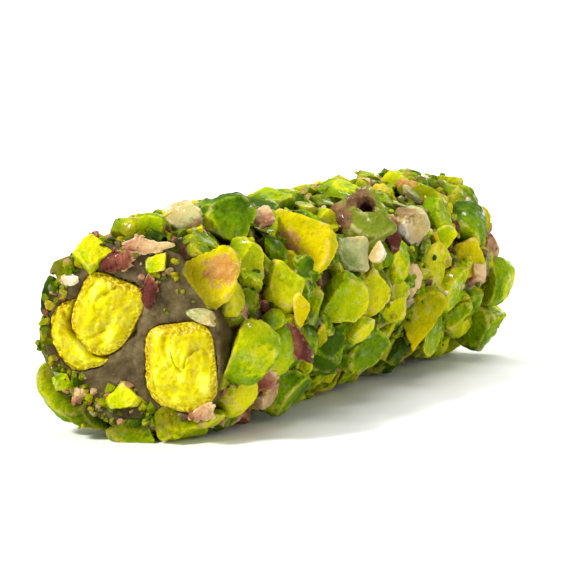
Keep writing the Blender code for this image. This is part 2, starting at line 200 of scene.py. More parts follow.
class Recipe:
    """A material that is built from wires and ends in a Principled BSDF."""

    def __init__(self, name):
        self.material = bpy.data.materials.new(name)
        self.material.use_nodes = True
        self.tree = self.material.node_tree
        self.shader = self.tree.nodes["Principled BSDF"]

    def feed(self, socket, value):
        """Link a wire to a socket, or set the socket to a plain value."""
        if isinstance(value, Wire):
            self.tree.links.new(value.socket, socket)
        else:
            socket.default_value = value

    def node(self, kind, settings=None, sockets=None, output=0):
        made = self.tree.nodes.new(kind)
        for setting, value in (settings or {}).items():
            setattr(made, setting, value)
        for key, value in (sockets or {}).items():
            self.feed(made.inputs[key], value)
        return Wire(self, made.outputs[output])

    def attribute(self, name):
        return self.node("ShaderNodeAttribute", {"attribute_name": name}, output="Fac")

    def place(self):
        return self.node("ShaderNodeTexCoord", output="Object")

    def noise(self, size, detail=2.0, roughness=0.5):
        """Cloudy pattern whose blots are about size across, from 0 to 1."""
        sockets = {"Vector": self.place(), "Scale": 1 / size, "Detail": detail, "Roughness": roughness}
        return self.node("ShaderNodeTexNoise", {}, sockets)

    def cells(self, size):
        """Distance to the nearest of many scattered points that lie about size apart."""
        return self.node("ShaderNodeTexVoronoi", {}, {"Vector": self.place(), "Scale": 1 / size})

    def ramp(self, factor, *stops):
        """Colours along a factor. Each stop is a position from 0 to 1 and a screen colour."""
        made = self.node("ShaderNodeValToRGB", {}, {"Fac": factor})
        elements = made.socket.node.color_ramp.elements
        while len(elements) < len(stops):
            elements.new(1)
        for element, (position, *colour) in zip(elements, stops):
            element.position = position
            element.color = shade(*colour)
        return made

    def mix(self, factor, first, second, blend="MIX"):
        settings = {"data_type": "RGBA", "blend_type": blend}
        return self.node("ShaderNodeMix", settings, {"Factor": factor, 6: first, 7: second}, output=2)

    def bump(self, height, distance, strength=1.0):
        sockets = {"Height": height, "Distance": distance, "Strength": strength}
        return self.node("ShaderNodeBump", {}, sockets)

    def finish(self, **sockets):
        """Set the shader's sockets; an underscore in a name stands for a space."""
        for key, value in sockets.items():
            self.feed(self.shader.inputs[key.replace("_", " ")], value)
        return self.material


def shade(red, green, blue):
    """Linear colour of a screen colour given from 0 to 255."""
    channels = [value / 255 for value in (red, green, blue)]
    return (*[((value + 0.055) / 1.055) ** 2.4 if value > 0.04 else value / 12.92 for value in channels], 1)


print("yellow of a kernel, linear:", [round(value, 3) for value in shade(235, 225, 10)])

# %% [markdown]
# ## Where everything sits
# A place on the side of the roll is told by two numbers: how far along the axis, and the angle around it.
# The same rules made the solids, so a fine piece that follows them lands in its solid. The cut faces are
# turned a little, because the knife didn't go through straight.

# %% Shape of the roll
ROLL_LENGTH = 80 * MM
CORE_RADIUS = 11.0 * MM
SIDE_WAVES = ((0.3 * MM, 2, 60), (0.2 * MM, 3, -110))   # height, number around, and turn per metre along
SAG = 0.6 * MM                      # the front end hangs toward its lower right by this much
SAG_AROUND = math.radians(-50)
FRONT_TURN = math.radians(10)
BACK_TURN = math.radians(4)
SUNK = 1.2 * MM                     # how deep a piece of the coat is pressed in
FLOOR_PRESS = 0.35 * MM
GOLDEN_ANGLE = math.pi * (3 - math.sqrt(5))


def face_frame(end):
    """Frame on a cut face: X across, Y up, Z out of the roll. end is -1 for the front and 1 for the back."""
    turn = FRONT_TURN if end < 0 else BACK_TURN
    out = Vector((math.sin(turn), end * math.cos(turn), 0))
    up = Vector((0, 0, 1))
    made = Matrix((up.cross(out), up, out)).transposed().to_4x4()
    made.translation = Vector((0, end * ROLL_LENGTH / 2, AXIS_HEIGHT)) + CENTRE_SHIFT
    return made


def core_radius(along, around):
    """Side of the Turkish delight: nearly round, with shallow waves and a sag at the front end."""
    front_share = 0.5 - along / ROLL_LENGTH
    sag = SAG * front_share * math.cos(around - SAG_AROUND)
    waves = sum(height * math.sin(count * around + turn * along) for height, count, turn in SIDE_WAVES)
    return CORE_RADIUS + sag + waves


def place_along(share, around, inset=0.0):
    """Place along the roll, from share 0 at the front face to 1 at the back face, which are both turned."""
    sideways = CORE_RADIUS * math.cos(around)
    front = -ROLL_LENGTH / 2 + sideways * math.tan(FRONT_TURN) + inset
    back = ROLL_LENGTH / 2 - sideways * math.tan(BACK_TURN) - inset
    return front + (back - front) * share


front_edges = [round(place_along(0, around) / MM, 1) for around in (math.pi, 0)]
print("front face from", front_edges[0], "to", front_edges[1], "mm along")

# %% [markdown]
# ## The chopped pistachio, piece by piece
# Chopped nuts look random, but the eye knows the big ones. So the pieces that stand out are listed one by
# one: where each lies, its size, how it is turned, which shape it has, and its finish with a tone from 0,
# the deepest, to 1, the palest. The rest of the coat follows a rule further on.

# %% The pieces that stand out
Bit = namedtuple("Bit", "along around length width height turn lean kind seed finish tone sway",
                 defaults=(0.0,))

LARGE_PIECES = {
    "piece_rim_lobe": Bit(-38.6, 219, 8.2, 6.4, 5.2, 80, 15, "lobe", 4, "green", 0.82),
    "piece_dark_block": Bit(-25.5, 69, 9.0, 7.0, 5.0, 25, 20, "nugget", 1, "green", 0.20),
    "piece_gold_half": Bit(-37.8, 36, 7.6, 6.4, 4.2, 210, 45, "shard", 0, "yellow", 0.73),
    "piece_green_kidney": Bit(-34.2, -10, 8.2, 7.6, 5.0, 5, 24, "lobe", 3, "green", 0.70),
    "piece_yellow_shard": Bit(-15.0, 40, 8.8, 7.6, 4.2, 60, 35, "shard", 1, "yellow", 0.75),
    "piece_olive_knob": Bit(0.5, 43, 8.6, 8.4, 6.0, 20, 30, "nugget", 3, "olive", 0.72),
    "piece_green_shard": Bit(-11.5, 6, 7.8, 6.6, 4.6, 0, 25, "shard", 2, "green", 0.52),
    "piece_green_nugget": Bit(-3.0, -27, 8.4, 7.2, 5.0, 30, 20, "nugget", 4, "green", 0.42),
}

PLACED_PIECES = (
    Bit(-37.6, 94, 5.6, 4.6, 3.4, 60, 15, "nugget", 0, "green", 0.72),
    Bit(-36.8, 85, 5.4, 4.4, 3.6, 10, 10, "nugget", 5, "green", 0.76),
    Bit(-32.0, 77, 6.0, 5.0, 4.2, 75, 25, "nugget", 2, "cream", 0.48),
    Bit(-18.5, 64, 6.4, 5.4, 3.4, 30, 10, "shard", 3, "green", 0.30),
    Bit(-29.0, 40, 6.0, 5.0, 3.6, 70, 30, "nugget", 1, "green", 0.58),
    # tone above 1: painted light, to brighten it in the shadow of the gold half
    Bit(-35.6, 21, 5.6, 4.8, 3.8, 60, 12, "shard", 0, "green", 1.10),
    Bit(-26.2, -14, 6.8, 4.6, 4.2, 85, 20, "lobe", 4, "green", 0.64),
    Bit(-22.2, -3, 6.4, 3.8, 3.0, 80, 30, "flake", 0, "skin", 0.25),
    Bit(-24.5, 19, 6.4, 5.4, 4.2, 70, 30, "nugget", 3, "green", 0.88),
    Bit(-29.0, -33, 5.6, 4.6, 2.2, 60, 40, "flake", 1, "skin", 0.70),
    Bit(-32.4, -39, 5.8, 4.8, 3.8, 50, 20, "shard", 4, "green", 0.92),
    Bit(-36.8, -67, 7.8, 6.2, 4.2, 10, 15, "nugget", 4, "green", 0.66),
    Bit(-21.0, -44, 8.6, 7.0, 4.8, 80, 20, "nugget", 0, "green", 0.22),
    Bit(-5.5, 27, 6.8, 5.4, 3.6, 5, 20, "nugget", 3, "cream", 0.42),
    Bit(-2.0, 4, 6.4, 5.2, 4.0, 85, 25, "nugget", 2, "green", 0.82),
    Bit(5.0, 18, 6.0, 5.0, 4.0, 80, 30, "shard", 5, "green", 0.68),
    Bit(9.8, 4, 4.8, 4.0, 3.0, 60, 30, "nugget", 0, "skin", 0.80),
    Bit(14.2, 37, 5.8, 5.2, 4.4, 35, 20, "nugget", 1, "cream", 0.57),
    Bit(17.0, 10, 6.4, 4.8, 3.4, 75, 35, "shard", 2, "green", 0.78),
    Bit(13.5, -18, 9.0, 5.4, 4.2, 70, 30, "shard", 3, "yellow", 0.45),
    Bit(-14.0, -25, 8.2, 6.2, 4.2, 80, 20, "nugget", 5, "green", 0.14),
    Bit(28.0, 8, 6.8, 5.8, 4.0, 60, 25, "nugget", 2, "yellow", 0.64),
    Bit(31.0, 29, 8.6, 6.6, 4.4, 20, 10, "lobe", 5, "green", 0.18),
    Bit(-8.0, 84, 7.6, 6.2, 3.8, 15, 10, "nugget", 3, "green", 0.26),
    Bit(8.6, 76, 8.0, 6.6, 3.8, 40, 10, "lobe", 3, "green", 0.32),
    Bit(37.0, 52, 6.8, 5.6, 3.8, 30, 0, "nugget", 1, "green", 0.40),
    Bit(-39.8, 186, 6.4, 4.8, 2.8, 80, 10, "shard", 3, "green", 0.50),
    Bit(-39.6, 162, 6.2, 5.0, 2.9, 70, 10, "nugget", 2, "green", 0.42),
    Bit(-38.6, 140, 6.2, 4.8, 2.2, 60, 5, "nugget", 0, "green", 0.74),
    Bit(-38.8, -92, 6.8, 5.2, 3.4, 85, 0, "nugget", 3, "green", 0.55),
    Bit(-39.8, -118, 6.2, 5.2, 3.2, 60, 0, "nugget", 1, "green", 0.35),
    Bit(21.5, 82, 7.2, 6.0, 2.5, 30, 5, "nugget", 3, "green", 0.40),
    Bit(27.5, 106, 7.0, 6.0, 2.2, 60, 5, "nugget", 2, "green", 0.40),
    Bit(35.4, 116, 6.6, 5.6, 2.2, 10, 5, "nugget", 5, "green", 0.44),
    Bit(36.8, -10, 7.6, 6.6, 4.8, 20, 0, "lobe", 3, "green", 0.74),
    Bit(36.4, -38, 7.8, 6.6, 5.8, 60, 0, "nugget", 4, "green", 0.52),
    Bit(35.4, -62, 7.6, 6.4, 5.2, 30, 0, "shard", 1, "green", 0.45),
    Bit(37.2, 88, 6.2, 5.2, 2.0, 20, 0, "nugget", 5, "green", 0.45),
    Bit(30.6, 93, 7.0, 6.0, 2.3, 40, 0, "nugget", 4, "green", 0.42),
    Bit(15.7, 88, 7.2, 5.8, 2.5, 0, 5, "nugget", 1, "green", 0.46),
)

FaceBit = namedtuple("FaceBit", "end across up length width height turn kind seed finish tone")
FACE_PIECES = (
    FaceBit(-1, -0.8, -7.5, 4.2, 3.2, 2.0, 20, "nugget", 4, "green", 0.84),
    FaceBit(-1, 2.5, 5.0, 4.4, 2.4, 1.0, 84, "flake", 2, "skin", 0.10),
    FaceBit(-1, -7.2, 5.8, 2.4, 1.5, 1.4, 10, "nugget", 1, "cream", 0.95),
    FaceBit(-1, 8.8, -8.8, 3.8, 2.2, 1.4, 15, "flake", 3, "skin", 0.85),
    FaceBit(-1, 8.8, 2.3, 3.8, 1.8, 1.4, -15, "flake", 4, "cream", 0.40),
    FaceBit(-1, -0.9, 8.4, 5.2, 3.0, 2.2, 20, "flake", 2, "skin", 0.36),
    FaceBit(-1, 2.4, 10.0, 6.4, 2.4, 1.2, -6, "flake", 5, "skin", 1.05),
    FaceBit(-1, -4.6, 8.8, 4.6, 3.8, 2.6, 40, "nugget", 5, "green", 0.80),
    FaceBit(-1, 3.6, 8.1, 3.2, 2.2, 1.6, 30, "nugget", 3, "green", 0.76),
    FaceBit(-1, -6.2, -7.8, 2.6, 1.8, 1.4, 70, "flake", 1, "skin", 0.90),
    FaceBit(-1, -8.4, -6.2, 2.6, 2.0, 1.6, 30, "nugget", 0, "green", 0.40),
    FaceBit(1, 0.4, -8.2, 3.6, 2.8, 2.0, 35, "nugget", 2, "green", 0.84),
    FaceBit(1, 7.4, 6.2, 4.2, 2.8, 1.4, -40, "flake", 0, "skin", 0.45),
    FaceBit(1, -7.0, 5.6, 3.4, 2.6, 1.8, 60, "nugget", 5, "green", 0.50),
    FaceBit(1, 0.2, 0.4, 2.4, 1.8, 1.4, 10, "nugget", 3, "cream", 0.60),
)
print("listed:", len(LARGE_PIECES), "large,", len(PLACED_PIECES), "smaller,",
      len(FACE_PIECES), "on the faces")

# %% [markdown]
# ## The rest of the coat
# Places at random leave bald spots and clumps. A golden-angle lattice, the pattern of sunflower seeds wound
# round the roll, spreads the pieces evenly, and a small random shift hides its order. Sizes, shapes, turns
# and tones are drawn from a seeded generator, so the roll comes out the same each time.

# %% Spread the coat
COAT_COUNT = 200
COAT_MARGIN = 0.026                 # bare share of the length at each end
COAT_SEED = 12
COAT_JITTER = 0.9                   # along, in mm
COAT_WANDER = 4.0                   # around, in degrees
COAT_CLEAR = 0.62                   # of two pieces' mean length, kept free round a listed piece
COAT_KINDS = ("nugget", "shard", "lobe", "flake")
COAT_WEIGHTS = (62, 18, 8, 12)
COAT_LENGTHS = (5.2, 8.2)
COAT_WIDTHS = (0.70, 0.92)
COAT_HEIGHTS = {"nugget": (2.8, 4.2), "shard": (2.4, 3.6), "lobe": (2.8, 4.0), "flake": (1.2, 1.8)}
COAT_TILT = 25
SHAPE_SEEDS = 6
FINISH_SEED = 5
FINISHES = ("green", "yellow", "olive", "cream", "skin")
FINISH_WEIGHTS = {"nugget": (80, 8, 5, 7, 0), "shard": (72, 18, 4, 6, 0),
                  "lobe": (82, 6, 12, 0, 0), "flake": (34, 6, 10, 14, 36)}
TONE_FRONT = (0.15, 0.95)           # range of the tones at the front
TONE_BACKWARD = 0.22                # how much deeper they get toward the back


def coat_distance(first, second):
    """Distance in mm over the coat between the places of two pieces."""
    turn = math.radians((first.around - second.around + 180) % 360 - 180)
    return math.hypot(first.along - second.along, turn * CORE_RADIUS / MM)


def lattice(count, margin, wander, jitter, draw):
    """For each place: its share of the way along, its angle in degrees and its place along in mm."""
    for index in range(count):
        share = margin + (1 - 2 * margin) * (index + 0.5) / count
        around = math.degrees(index * GOLDEN_ANGLE) % 360 + draw.uniform(-wander, wander)
        yield share, around, place_along(share, math.radians(around)) / MM + draw.uniform(-jitter, jitter)


def coat_pieces():
    """The coat between the listed pieces."""
    listed = [*LARGE_PIECES.values(), *PLACED_PIECES]
    draw = random.Random(COAT_SEED)
    paint = random.Random(FINISH_SEED)
    pieces = []
    for share, around, along in lattice(COAT_COUNT, COAT_MARGIN, COAT_WANDER, COAT_JITTER, draw):
        kind = draw.choices(COAT_KINDS, COAT_WEIGHTS)[0]
        length = draw.uniform(*COAT_LENGTHS)
        width = length * draw.uniform(*COAT_WIDTHS)
        height = draw.uniform(*COAT_HEIGHTS[kind])
        turn = draw.uniform(0, 360)
        lean, sway = draw.uniform(-COAT_TILT, COAT_TILT), draw.uniform(-COAT_TILT, COAT_TILT)
        seed = draw.randrange(SHAPE_SEEDS)
        finish = paint.choices(FINISHES, FINISH_WEIGHTS[kind])[0]
        tone = paint.uniform(*TONE_FRONT) - TONE_BACKWARD * share
        piece = Bit(along, around, length, width, height, turn, lean, kind, seed, finish, tone, sway)
        if all(coat_distance(piece, other) > COAT_CLEAR * (length + other.length) / 2 for other in listed):
            pieces.append(piece)
    return pieces


COAT_PIECES = coat_pieces()
print("coat:", len(COAT_PIECES), "pieces")
print({name: sum(bit.finish == name for bit in COAT_PIECES) for name in FINISHES})

# %% [markdown]
# ## A chopped piece of nut
# A bit of chopped pistachio is a rounded kernel with flat cuts through it. So it starts as a ball, and a
# plane cuts it a few times in edit mode, with the hole filled. Smaller cuts then chip its corners. A voxel
# remesh gives it an even skin, and three layers of displacement make it wavy, chipped and nicked. It isn't
# smoothed, because a chopped nut has crisp edges. Hundreds of shapes would be needed if all were different.
# Six of each kind are enough, because every copy gets its own size, turn and colour. Each is kept at four
# levels of detail, from the large pieces down to the crumbs. Each point is marked with what the finish asks
# for: whether it is cut flesh or skin, and how near it is to the rim of a cut and to any edge.

# %% Model the shapes
SHAPES = {   # half sizes of the uncut bit, number of cuts, and how near its centre they pass
    "nugget": ((1.00, 0.82, 0.70), 5, (0.50, 0.78)),
    "lobe": ((1.00, 0.74, 0.62), 2, (0.45, 0.70)),
    "shard": ((1.00, 0.66, 0.42), 4, (0.35, 0.75)),
    "flake": ((1.00, 0.72, 0.22), 4, (0.45, 0.80)),
}
BALL_SUBDIVISIONS = 5
VOXEL = {"nugget": 0.045, "lobe": 0.045, "shard": 0.036, "flake": 0.028}
DETAILS = {"large": 2400, "fine": 1000, "small": 130, "crumb": 24}   # triangles in a shape
CUT_BLEND = 0.05       # width of the change from skin to cut flesh, in shares of the ball's radius
RIM_WIDTH = 0.08
EDGE_WIDTH = 0.11
CHIPS_OFF = {"nugget": 5, "lobe": 2, "shard": 4, "flake": 4}   # small flat chips off its corners
CHIP_REACH = (0.88, 0.95)        # of the way out to the furthest point

Shape = namedtuple("Shape", "points faces cut rim edge")


def displacement(name, kind, size):
    texture = bpy.data.textures.new(name, kind)
    texture.noise_scale = size
    return texture


WAVES = displacement("waves", "CLOUDS", 0.55)
CHIPS = displacement("chips", "VORONOI", 0.34)
NICKS = displacement("nicks", "CLOUDS", 0.16)
TEARS = displacement("tears", "CLOUDS", 0.30)
NUT_RELIEF = ((WAVES, "NORMAL", 0.15, 0.5), (CHIPS, "NORMAL", 0.07, 0.3), (NICKS, "NORMAL", 0.04, 0.5))


def roughen(piece, relief, amount=1):
    """Displace by each layer: its texture, direction and strength, and the grey that moves nothing."""
    for texture, direction, strength, level in relief:
        apply_modifier(piece, "DISPLACE", texture=texture, direction=direction, strength=strength * amount,
                       mid_level=level)


def any_direction(draw):
    return Vector([draw.gauss(0, 1) for axis in range(3)]).normalized()


def spread_direction(index, count):
    """One of count directions spread evenly over a sphere."""
    height = 1 - 2 * (index + 0.5) / count
    flat = math.sqrt(1 - height * height)
    return Vector((flat * math.cos(index * GOLDEN_ANGLE), flat * math.sin(index * GOLDEN_ANGLE), height))


def add_ball(name):
    """A ball, in edit mode."""
    start_clean()
    bpy.ops.mesh.primitive_ico_sphere_add(subdivisions=BALL_SUBDIVISIONS, radius=1)
    piece = added(name)
    bpy.ops.object.mode_set(mode="EDIT")
    return piece


def slice_off(direction, reach, fill=True):
    """Cut away what lies further than reach along a direction."""
    bpy.ops.mesh.select_all(action="SELECT")
    bpy.ops.mesh.bisect(plane_co=direction * reach, plane_no=direction, use_fill=fill, clear_outer=True)


def stretch(half_sizes):
    """Size the cut ball, and leave edit mode."""
    bpy.ops.mesh.select_all(action="SELECT")
    bpy.ops.transform.resize(value=half_sizes, center_override=(0, 0, 0))
    bpy.ops.object.mode_set(mode="OBJECT")


def cut_marks(points, half_sizes, planes, rimmed):
    """For each point: how far it belongs to a cut, and how near it is to the rim of a cut and to any edge.
    Only the first cuts, as many as rimmed says, have a rim."""
    ball = points / np.array(half_sizes)
    skin = np.linalg.norm(ball, axis=1) - 1
    flesh = np.array([ball @ np.array(direction) - reach for direction, reach in planes])
    cut = np.clip((flesh.max(axis=0) - skin) / CUT_BLEND + 0.5, 0, 1)
    rim = np.clip(1 - np.abs(flesh[:rimmed].max(axis=0) - skin) / RIM_WIDTH, 0, 1)
    second, first = np.sort(np.vstack([flesh, skin]), axis=0)[-2:]
    edge = np.clip(1 - (first - second) / EDGE_WIDTH, 0, 1)
    return cut, rim, edge


def read_mesh(piece):
    """Points and triangles of a triangulated mesh, as arrays."""
    points = np.empty(len(piece.data.vertices) * 3)
    piece.data.vertices.foreach_get("co", points)
    faces = np.empty(len(piece.data.polygons) * 3, dtype=np.int32)
    piece.data.polygons.foreach_get("vertices", faces)
    return points.reshape(-1, 3), faces.reshape(-1, 3)


def to_unit_box(points):
    low, high = points.min(axis=0), points.max(axis=0)
    return (points - low) / (high - low) - 0.5


def at_each_detail(piece, half_sizes, planes, rimmed):
    """Read the piece with fewer and fewer triangles, and remove it."""
    shapes = {}
    for detail, wanted in DETAILS.items():
        apply_modifier(piece, "DECIMATE", ratio=min(1, wanted / triangles(piece)))
        apply_modifier(piece, "TRIANGULATE")
        points, faces = read_mesh(piece)
        marks = cut_marks(points, half_sizes, planes, rimmed)
        shapes[detail] = Shape(to_unit_box(points), faces, *marks)
    bpy.data.objects.remove(piece)
    return shapes


def chopped_shapes(kind, seed):
    """A rounded bit with flat cuts, in a box of 1 x 1 x 1 about its centre, at each level of detail."""
    half_sizes, cuts, nearness = SHAPES[kind]
    draw = random.Random(f"{kind} {seed}")
    pose = Euler([draw.uniform(0, math.tau) for axis in range(3)]).to_matrix()
    piece = add_ball(f"{kind}_{seed}")
    planes = []
    for index in range(cuts):
        planes.append((pose @ spread_direction(index, cuts), draw.uniform(*nearness)))
        slice_off(*planes[-1])
    for index in range(CHIPS_OFF[kind]):
        direction = any_direction(draw)
        piece.update_from_editmode()
        furthest = max(vert.co.dot(direction) for vert in piece.data.vertices)
        planes.append((direction, furthest * draw.uniform(*CHIP_REACH)))
        slice_off(*planes[-1])
    stretch(half_sizes)
    apply_modifier(piece, "REMESH", mode="VOXEL", voxel_size=VOXEL[kind])
    roughen(piece, NUT_RELIEF, half_sizes[2] / SHAPES["nugget"][0][2])
    return at_each_detail(piece, half_sizes, planes, cuts)


SHAPE_BOOK = {(kind, seed): chopped_shapes(kind, seed) for kind in SHAPES for seed in range(SHAPE_SEEDS)}
for detail in DETAILS:
    counts = [len(shapes[detail].faces) for shapes in SHAPE_BOOK.values()]
    print(f"{detail} shapes: {len(counts)} with {sum(counts) // len(counts)} triangles each")

# %% [markdown]
# ## A peel
# The skin of a kernel comes off in thin, curled, papery bits. A peel is a cap cut off a ball and trimmed by
# more cuts. Displacement along X and Y tears its outline, because straight cuts alone look like paper, and
# Solidify gives it its thickness.

# %% Model the peels
PEEL_FLOOR = 0.35          # height of the cut that leaves the cap
PEEL_CUTS = 8
PEEL_CUT_WANDER = 0.3      # of the step from one cut to the next
PEEL_CUT_REACH = (0.45, 0.85)
PEEL_THICKNESS = 0.06
PEEL_SIZES = (1.0, 0.8, 0.7)
PEEL_RELIEF = ((TEARS, "X", 0.45, 0.5), (TEARS, "Y", 0.45, 0.5),
               (WAVES, "NORMAL", 0.35, 0.5), (NICKS, "NORMAL", 0.08, 0.5))


def peel_shapes(seed):
    """A thin, curled bit of skin, at each level of detail."""
    draw = random.Random(f"peel {seed}")
    piece = add_ball(f"peel_{seed}")
    planes = [(Vector((0, 0, -1)), -PEEL_FLOOR)]
    turn = draw.uniform(0, math.tau)
    for index in range(PEEL_CUTS):
        step = index + draw.uniform(-PEEL_CUT_WANDER, PEEL_CUT_WANDER)
        around = turn + step * math.tau / PEEL_CUTS
        planes.append((Vector((math.cos(around), math.sin(around), 0)), draw.uniform(*PEEL_CUT_REACH)))
    for direction, reach in planes:
        slice_off(direction, reach, fill=False)
    stretch(PEEL_SIZES)
    roughen(piece, PEEL_RELIEF)
    apply_modifier(piece, "SOLIDIFY", thickness=PEEL_THICKNESS, offset=0)
    return at_each_detail(piece, PEEL_SIZES, planes, PEEL_CUTS)


for seed in range(SHAPE_SEEDS):
    SHAPE_BOOK["peel", seed] = peel_shapes(seed)


def shape_for(bit, detail="fine"):
    """The shape of a bit: a flake of skin is a peel."""
    kind = "peel" if bit.kind == "flake" and bit.finish == "skin" else bit.kind
    return SHAPE_BOOK[kind, bit.seed][detail]


print("peels have", len(SHAPE_BOOK["peel", 0]["fine"].faces), "triangles")

# %% [markdown]
# ## Pressed into the side
# Every bit is sized, turned about its upright, leaned, and then pressed into the soft delight by the same
# depth. Six marks go with each point, because the finish needs them: the piece's tone, which drifts from
# one side of it to the other, whether the point is cut flesh or skin, how near it is to the rim of a cut
# and to any edge, how far it stands out of the delight, which sets the painted shade at its foot, and its
# stain, a patch of the thin brown skin that clings to a kernel, which in the knob's hole carries painted
# shade.

# %% Place a bit and join many
Part = namedtuple("Part", "points faces marks")
LIFT_HEIGHT = 4.0 * MM
SHARP_ANGLE = math.radians(32)
STAIN_SHARE = 0.30             # of the pieces that have a patch of skin
STAIN_OUT = 0.45               # from a piece's middle to the middle of its patch, in shares of its size
STAIN_RADII = (0.28, 0.55)
TONE_DRIFT = {"skin": 0.9}     # from one side of a piece to the other
PLAIN_DRIFT = 0.60
VIEW = np.array(camera.rotation_euler.to_matrix())   # columns: to the camera's right, up and toward it


def lift_of(points):
    """0 at the side of the Turkish delight and 1 where a piece stands clear of it."""
    radii = np.hypot(points[:, 0] - CENTRE_SHIFT.x, points[:, 2] - AXIS_HEIGHT)
    return np.clip((radii - CORE_RADIUS) / LIFT_HEIGHT, 0, 1)


def toned(points, bit, direction):
    """A tone that drifts along a direction, as flesh does from skin to heart."""
    return bit.tone + TONE_DRIFT.get(bit.finish, PLAIN_DRIFT) * (points @ np.array(direction))


def stain_of(points, centre, radius):
    return np.clip(1 - np.linalg.norm(points - np.array(centre), axis=1) / radius, 0, 1)


def random_stain(points, seed):
    draw = random.Random(seed)
    if draw.random() > STAIN_SHARE:
        return np.zeros(len(points))
    centre = any_direction(draw) * STAIN_OUT
    return stain_of(points, centre, draw.uniform(*STAIN_RADII))


def as_seen(points, length):
    """Points as the camera sees them: right, up and toward it from their middle, in shares of length."""
    middle = (points.min(axis=0) + points.max(axis=0)) / 2
    return (points - middle) @ VIEW / length


def patched(points, length, patches):
    """Stain from patches whose centres are told as the camera sees them."""
    seen = as_seen(points, length)
    stains = [stain_of(seen, centre, radius) for centre, radius in patches]
    return np.max([*stains, np.zeros(len(points))], axis=0)


def marked(points, shape, **others):
    """A part whose points have the shape's marks and others. A plain number stands for all points."""
    marks = {"tone": 0.0, "cut": shape.cut, "rim": shape.rim, "edge": shape.edge, "lift": 1.0, "stain": 0.0}
    marks.update(others)
    return Part(points, shape.faces, {mark: np.broadcast_to(marks[mark], len(points)) for mark in marks})


def pressed(bit, shape, sunk=SUNK, patches=None):
    """A shape as one bit of the coat."""
    around, turn, lean, sway = [math.radians(value) for value in (bit.around, bit.turn, bit.lean, bit.sway)]
    out = Vector((math.cos(around), 0, math.sin(around)))
    forward = Vector((0, 1, 0))
    sideways = out.cross(forward)
    pose = Matrix.Rotation(-lean, 3, sideways) @ Matrix.Rotation(sway, 3, forward)
    pose = pose @ Matrix((forward, sideways, out)).transposed() @ Matrix.Rotation(turn, 3, "Z")
    points = shape.points * np.array((bit.length, bit.width, bit.height)) * MM @ np.array(pose).T
    underside = (points @ np.array(out)).min()
    place = out * (core_radius(bit.along * MM, around) - sunk - underside)
    place += Vector((0, bit.along * MM, AXIS_HEIGHT))
    place.z += max(0, -FLOOR_PRESS - place.z - points[:, 2].min())
    points = points + np.array(place + CENTRE_SHIFT)
    points[:, 2] = np.maximum(points[:, 2], 0)
    seed = f"{bit.along} {bit.around}"
    tone = toned(shape.points, bit, any_direction(random.Random(seed)))
    if patches is None:
        stain = random_stain(shape.points, seed)
    else:
        stain = patched(points, bit.length * MM, patches)
    return marked(points, shape, tone=tone, lift=lift_of(points), stain=stain)


def joined(name, parts, material, slot, nodes=()):
    """One piece from many parts, which keep their marks as attributes of its points."""
    counts = [len(part.points) for part in parts]
    starts = np.cumsum([0, *counts[:-1]])
    points = np.concatenate([part.points for part in parts])
    faces = np.concatenate([part.faces + start for part, start in zip(parts, starts)])
    mesh = bpy.data.meshes.new(name)
    mesh.vertices.add(len(points))
    mesh.vertices.foreach_set("co", points.ravel())
    mesh.loops.add(faces.size)
    mesh.loops.foreach_set("vertex_index", faces.ravel().astype(np.int32))
    mesh.polygons.add(len(faces))
    mesh.polygons.foreach_set("loop_start", np.arange(0, faces.size, 3, dtype=np.int32))
    mesh.update(calc_edges=True)
    mesh.validate()
    mesh.shade_smooth()
    mesh.set_sharp_from_angle(angle=SHARP_ANGLE)
    for mark in parts[0].marks:
        values = np.concatenate([part.marks[mark] for part in parts])
        mesh.attributes.new(mark, "FLOAT", "POINT").data.foreach_set("value", values.astype(np.float32))
    piece = bpy.data.objects.new(name, mesh)
    bpy.context.scene.collection.objects.link(piece)
    return dressed(piece, material, slot, nodes)


def dressed(piece, material, slot, nodes=()):
    """Give a finished piece its material, and fix it to the roll in place of the plain solids."""
    piece.data.materials.clear()
    piece.data.materials.append(material)
    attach(piece, "root")
    if nodes:
        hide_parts(*nodes)
    print(f"{piece.name}: {triangles(piece)} triangles")
    return piece


print("stained pieces, about", round(STAIN_SHARE * len(COAT_PIECES)))

# %% [markdown]
# ## Finish of the pistachio
# The flesh of a pistachio runs from deep green under the skin to yellow in the middle, so its colour is a
# ramp that the tone picks from and a cloudy pattern shifts. On top of that, the skin side is darker, edges
# are lighter, the rims of cuts are pale, the foot of a piece is darkened as painted shade where it sinks
# among its neighbours, and a stain has a torn outline and a brown, tan or golden ramp of its own. Where
# the stain mark runs past 1, in the knob's hole, it paints painted shade, near black. Light goes a little
# way into nut flesh, so it gets some subsurface scattering. The flesh is dull and only its moist spots are
# glossy: a gloss all over would mirror the white room and wash the green out.

# %% Pistachio finishes
BROWN_STOPS = ((0.35, 84, 46, 40), (0.55, 132, 88, 66), (0.72, 186, 146, 96))
TAN_STOPS = ((0.35, 118, 92, 54), (0.55, 152, 124, 78), (0.72, 188, 158, 104))
KNOB_STOPS = ((0.35, 86, 58, 40), (0.55, 130, 96, 64), (0.72, 172, 140, 94))
GOLD_STOPS = ((0.30, 168, 100, 40), (0.50, 198, 144, 66), (0.70, 222, 184, 108))
# painted shade: the near-black colour inside the knob's hole
PAINTED_HOLE_SHADE = shade(58, 30, 34)
SKIN_SHIFT = -0.22             # of the tone, where a piece still has its skin side
RIM_AMOUNT = 0.85
EDGE_SHIFT = 0.42              # of the tone, along worn edges


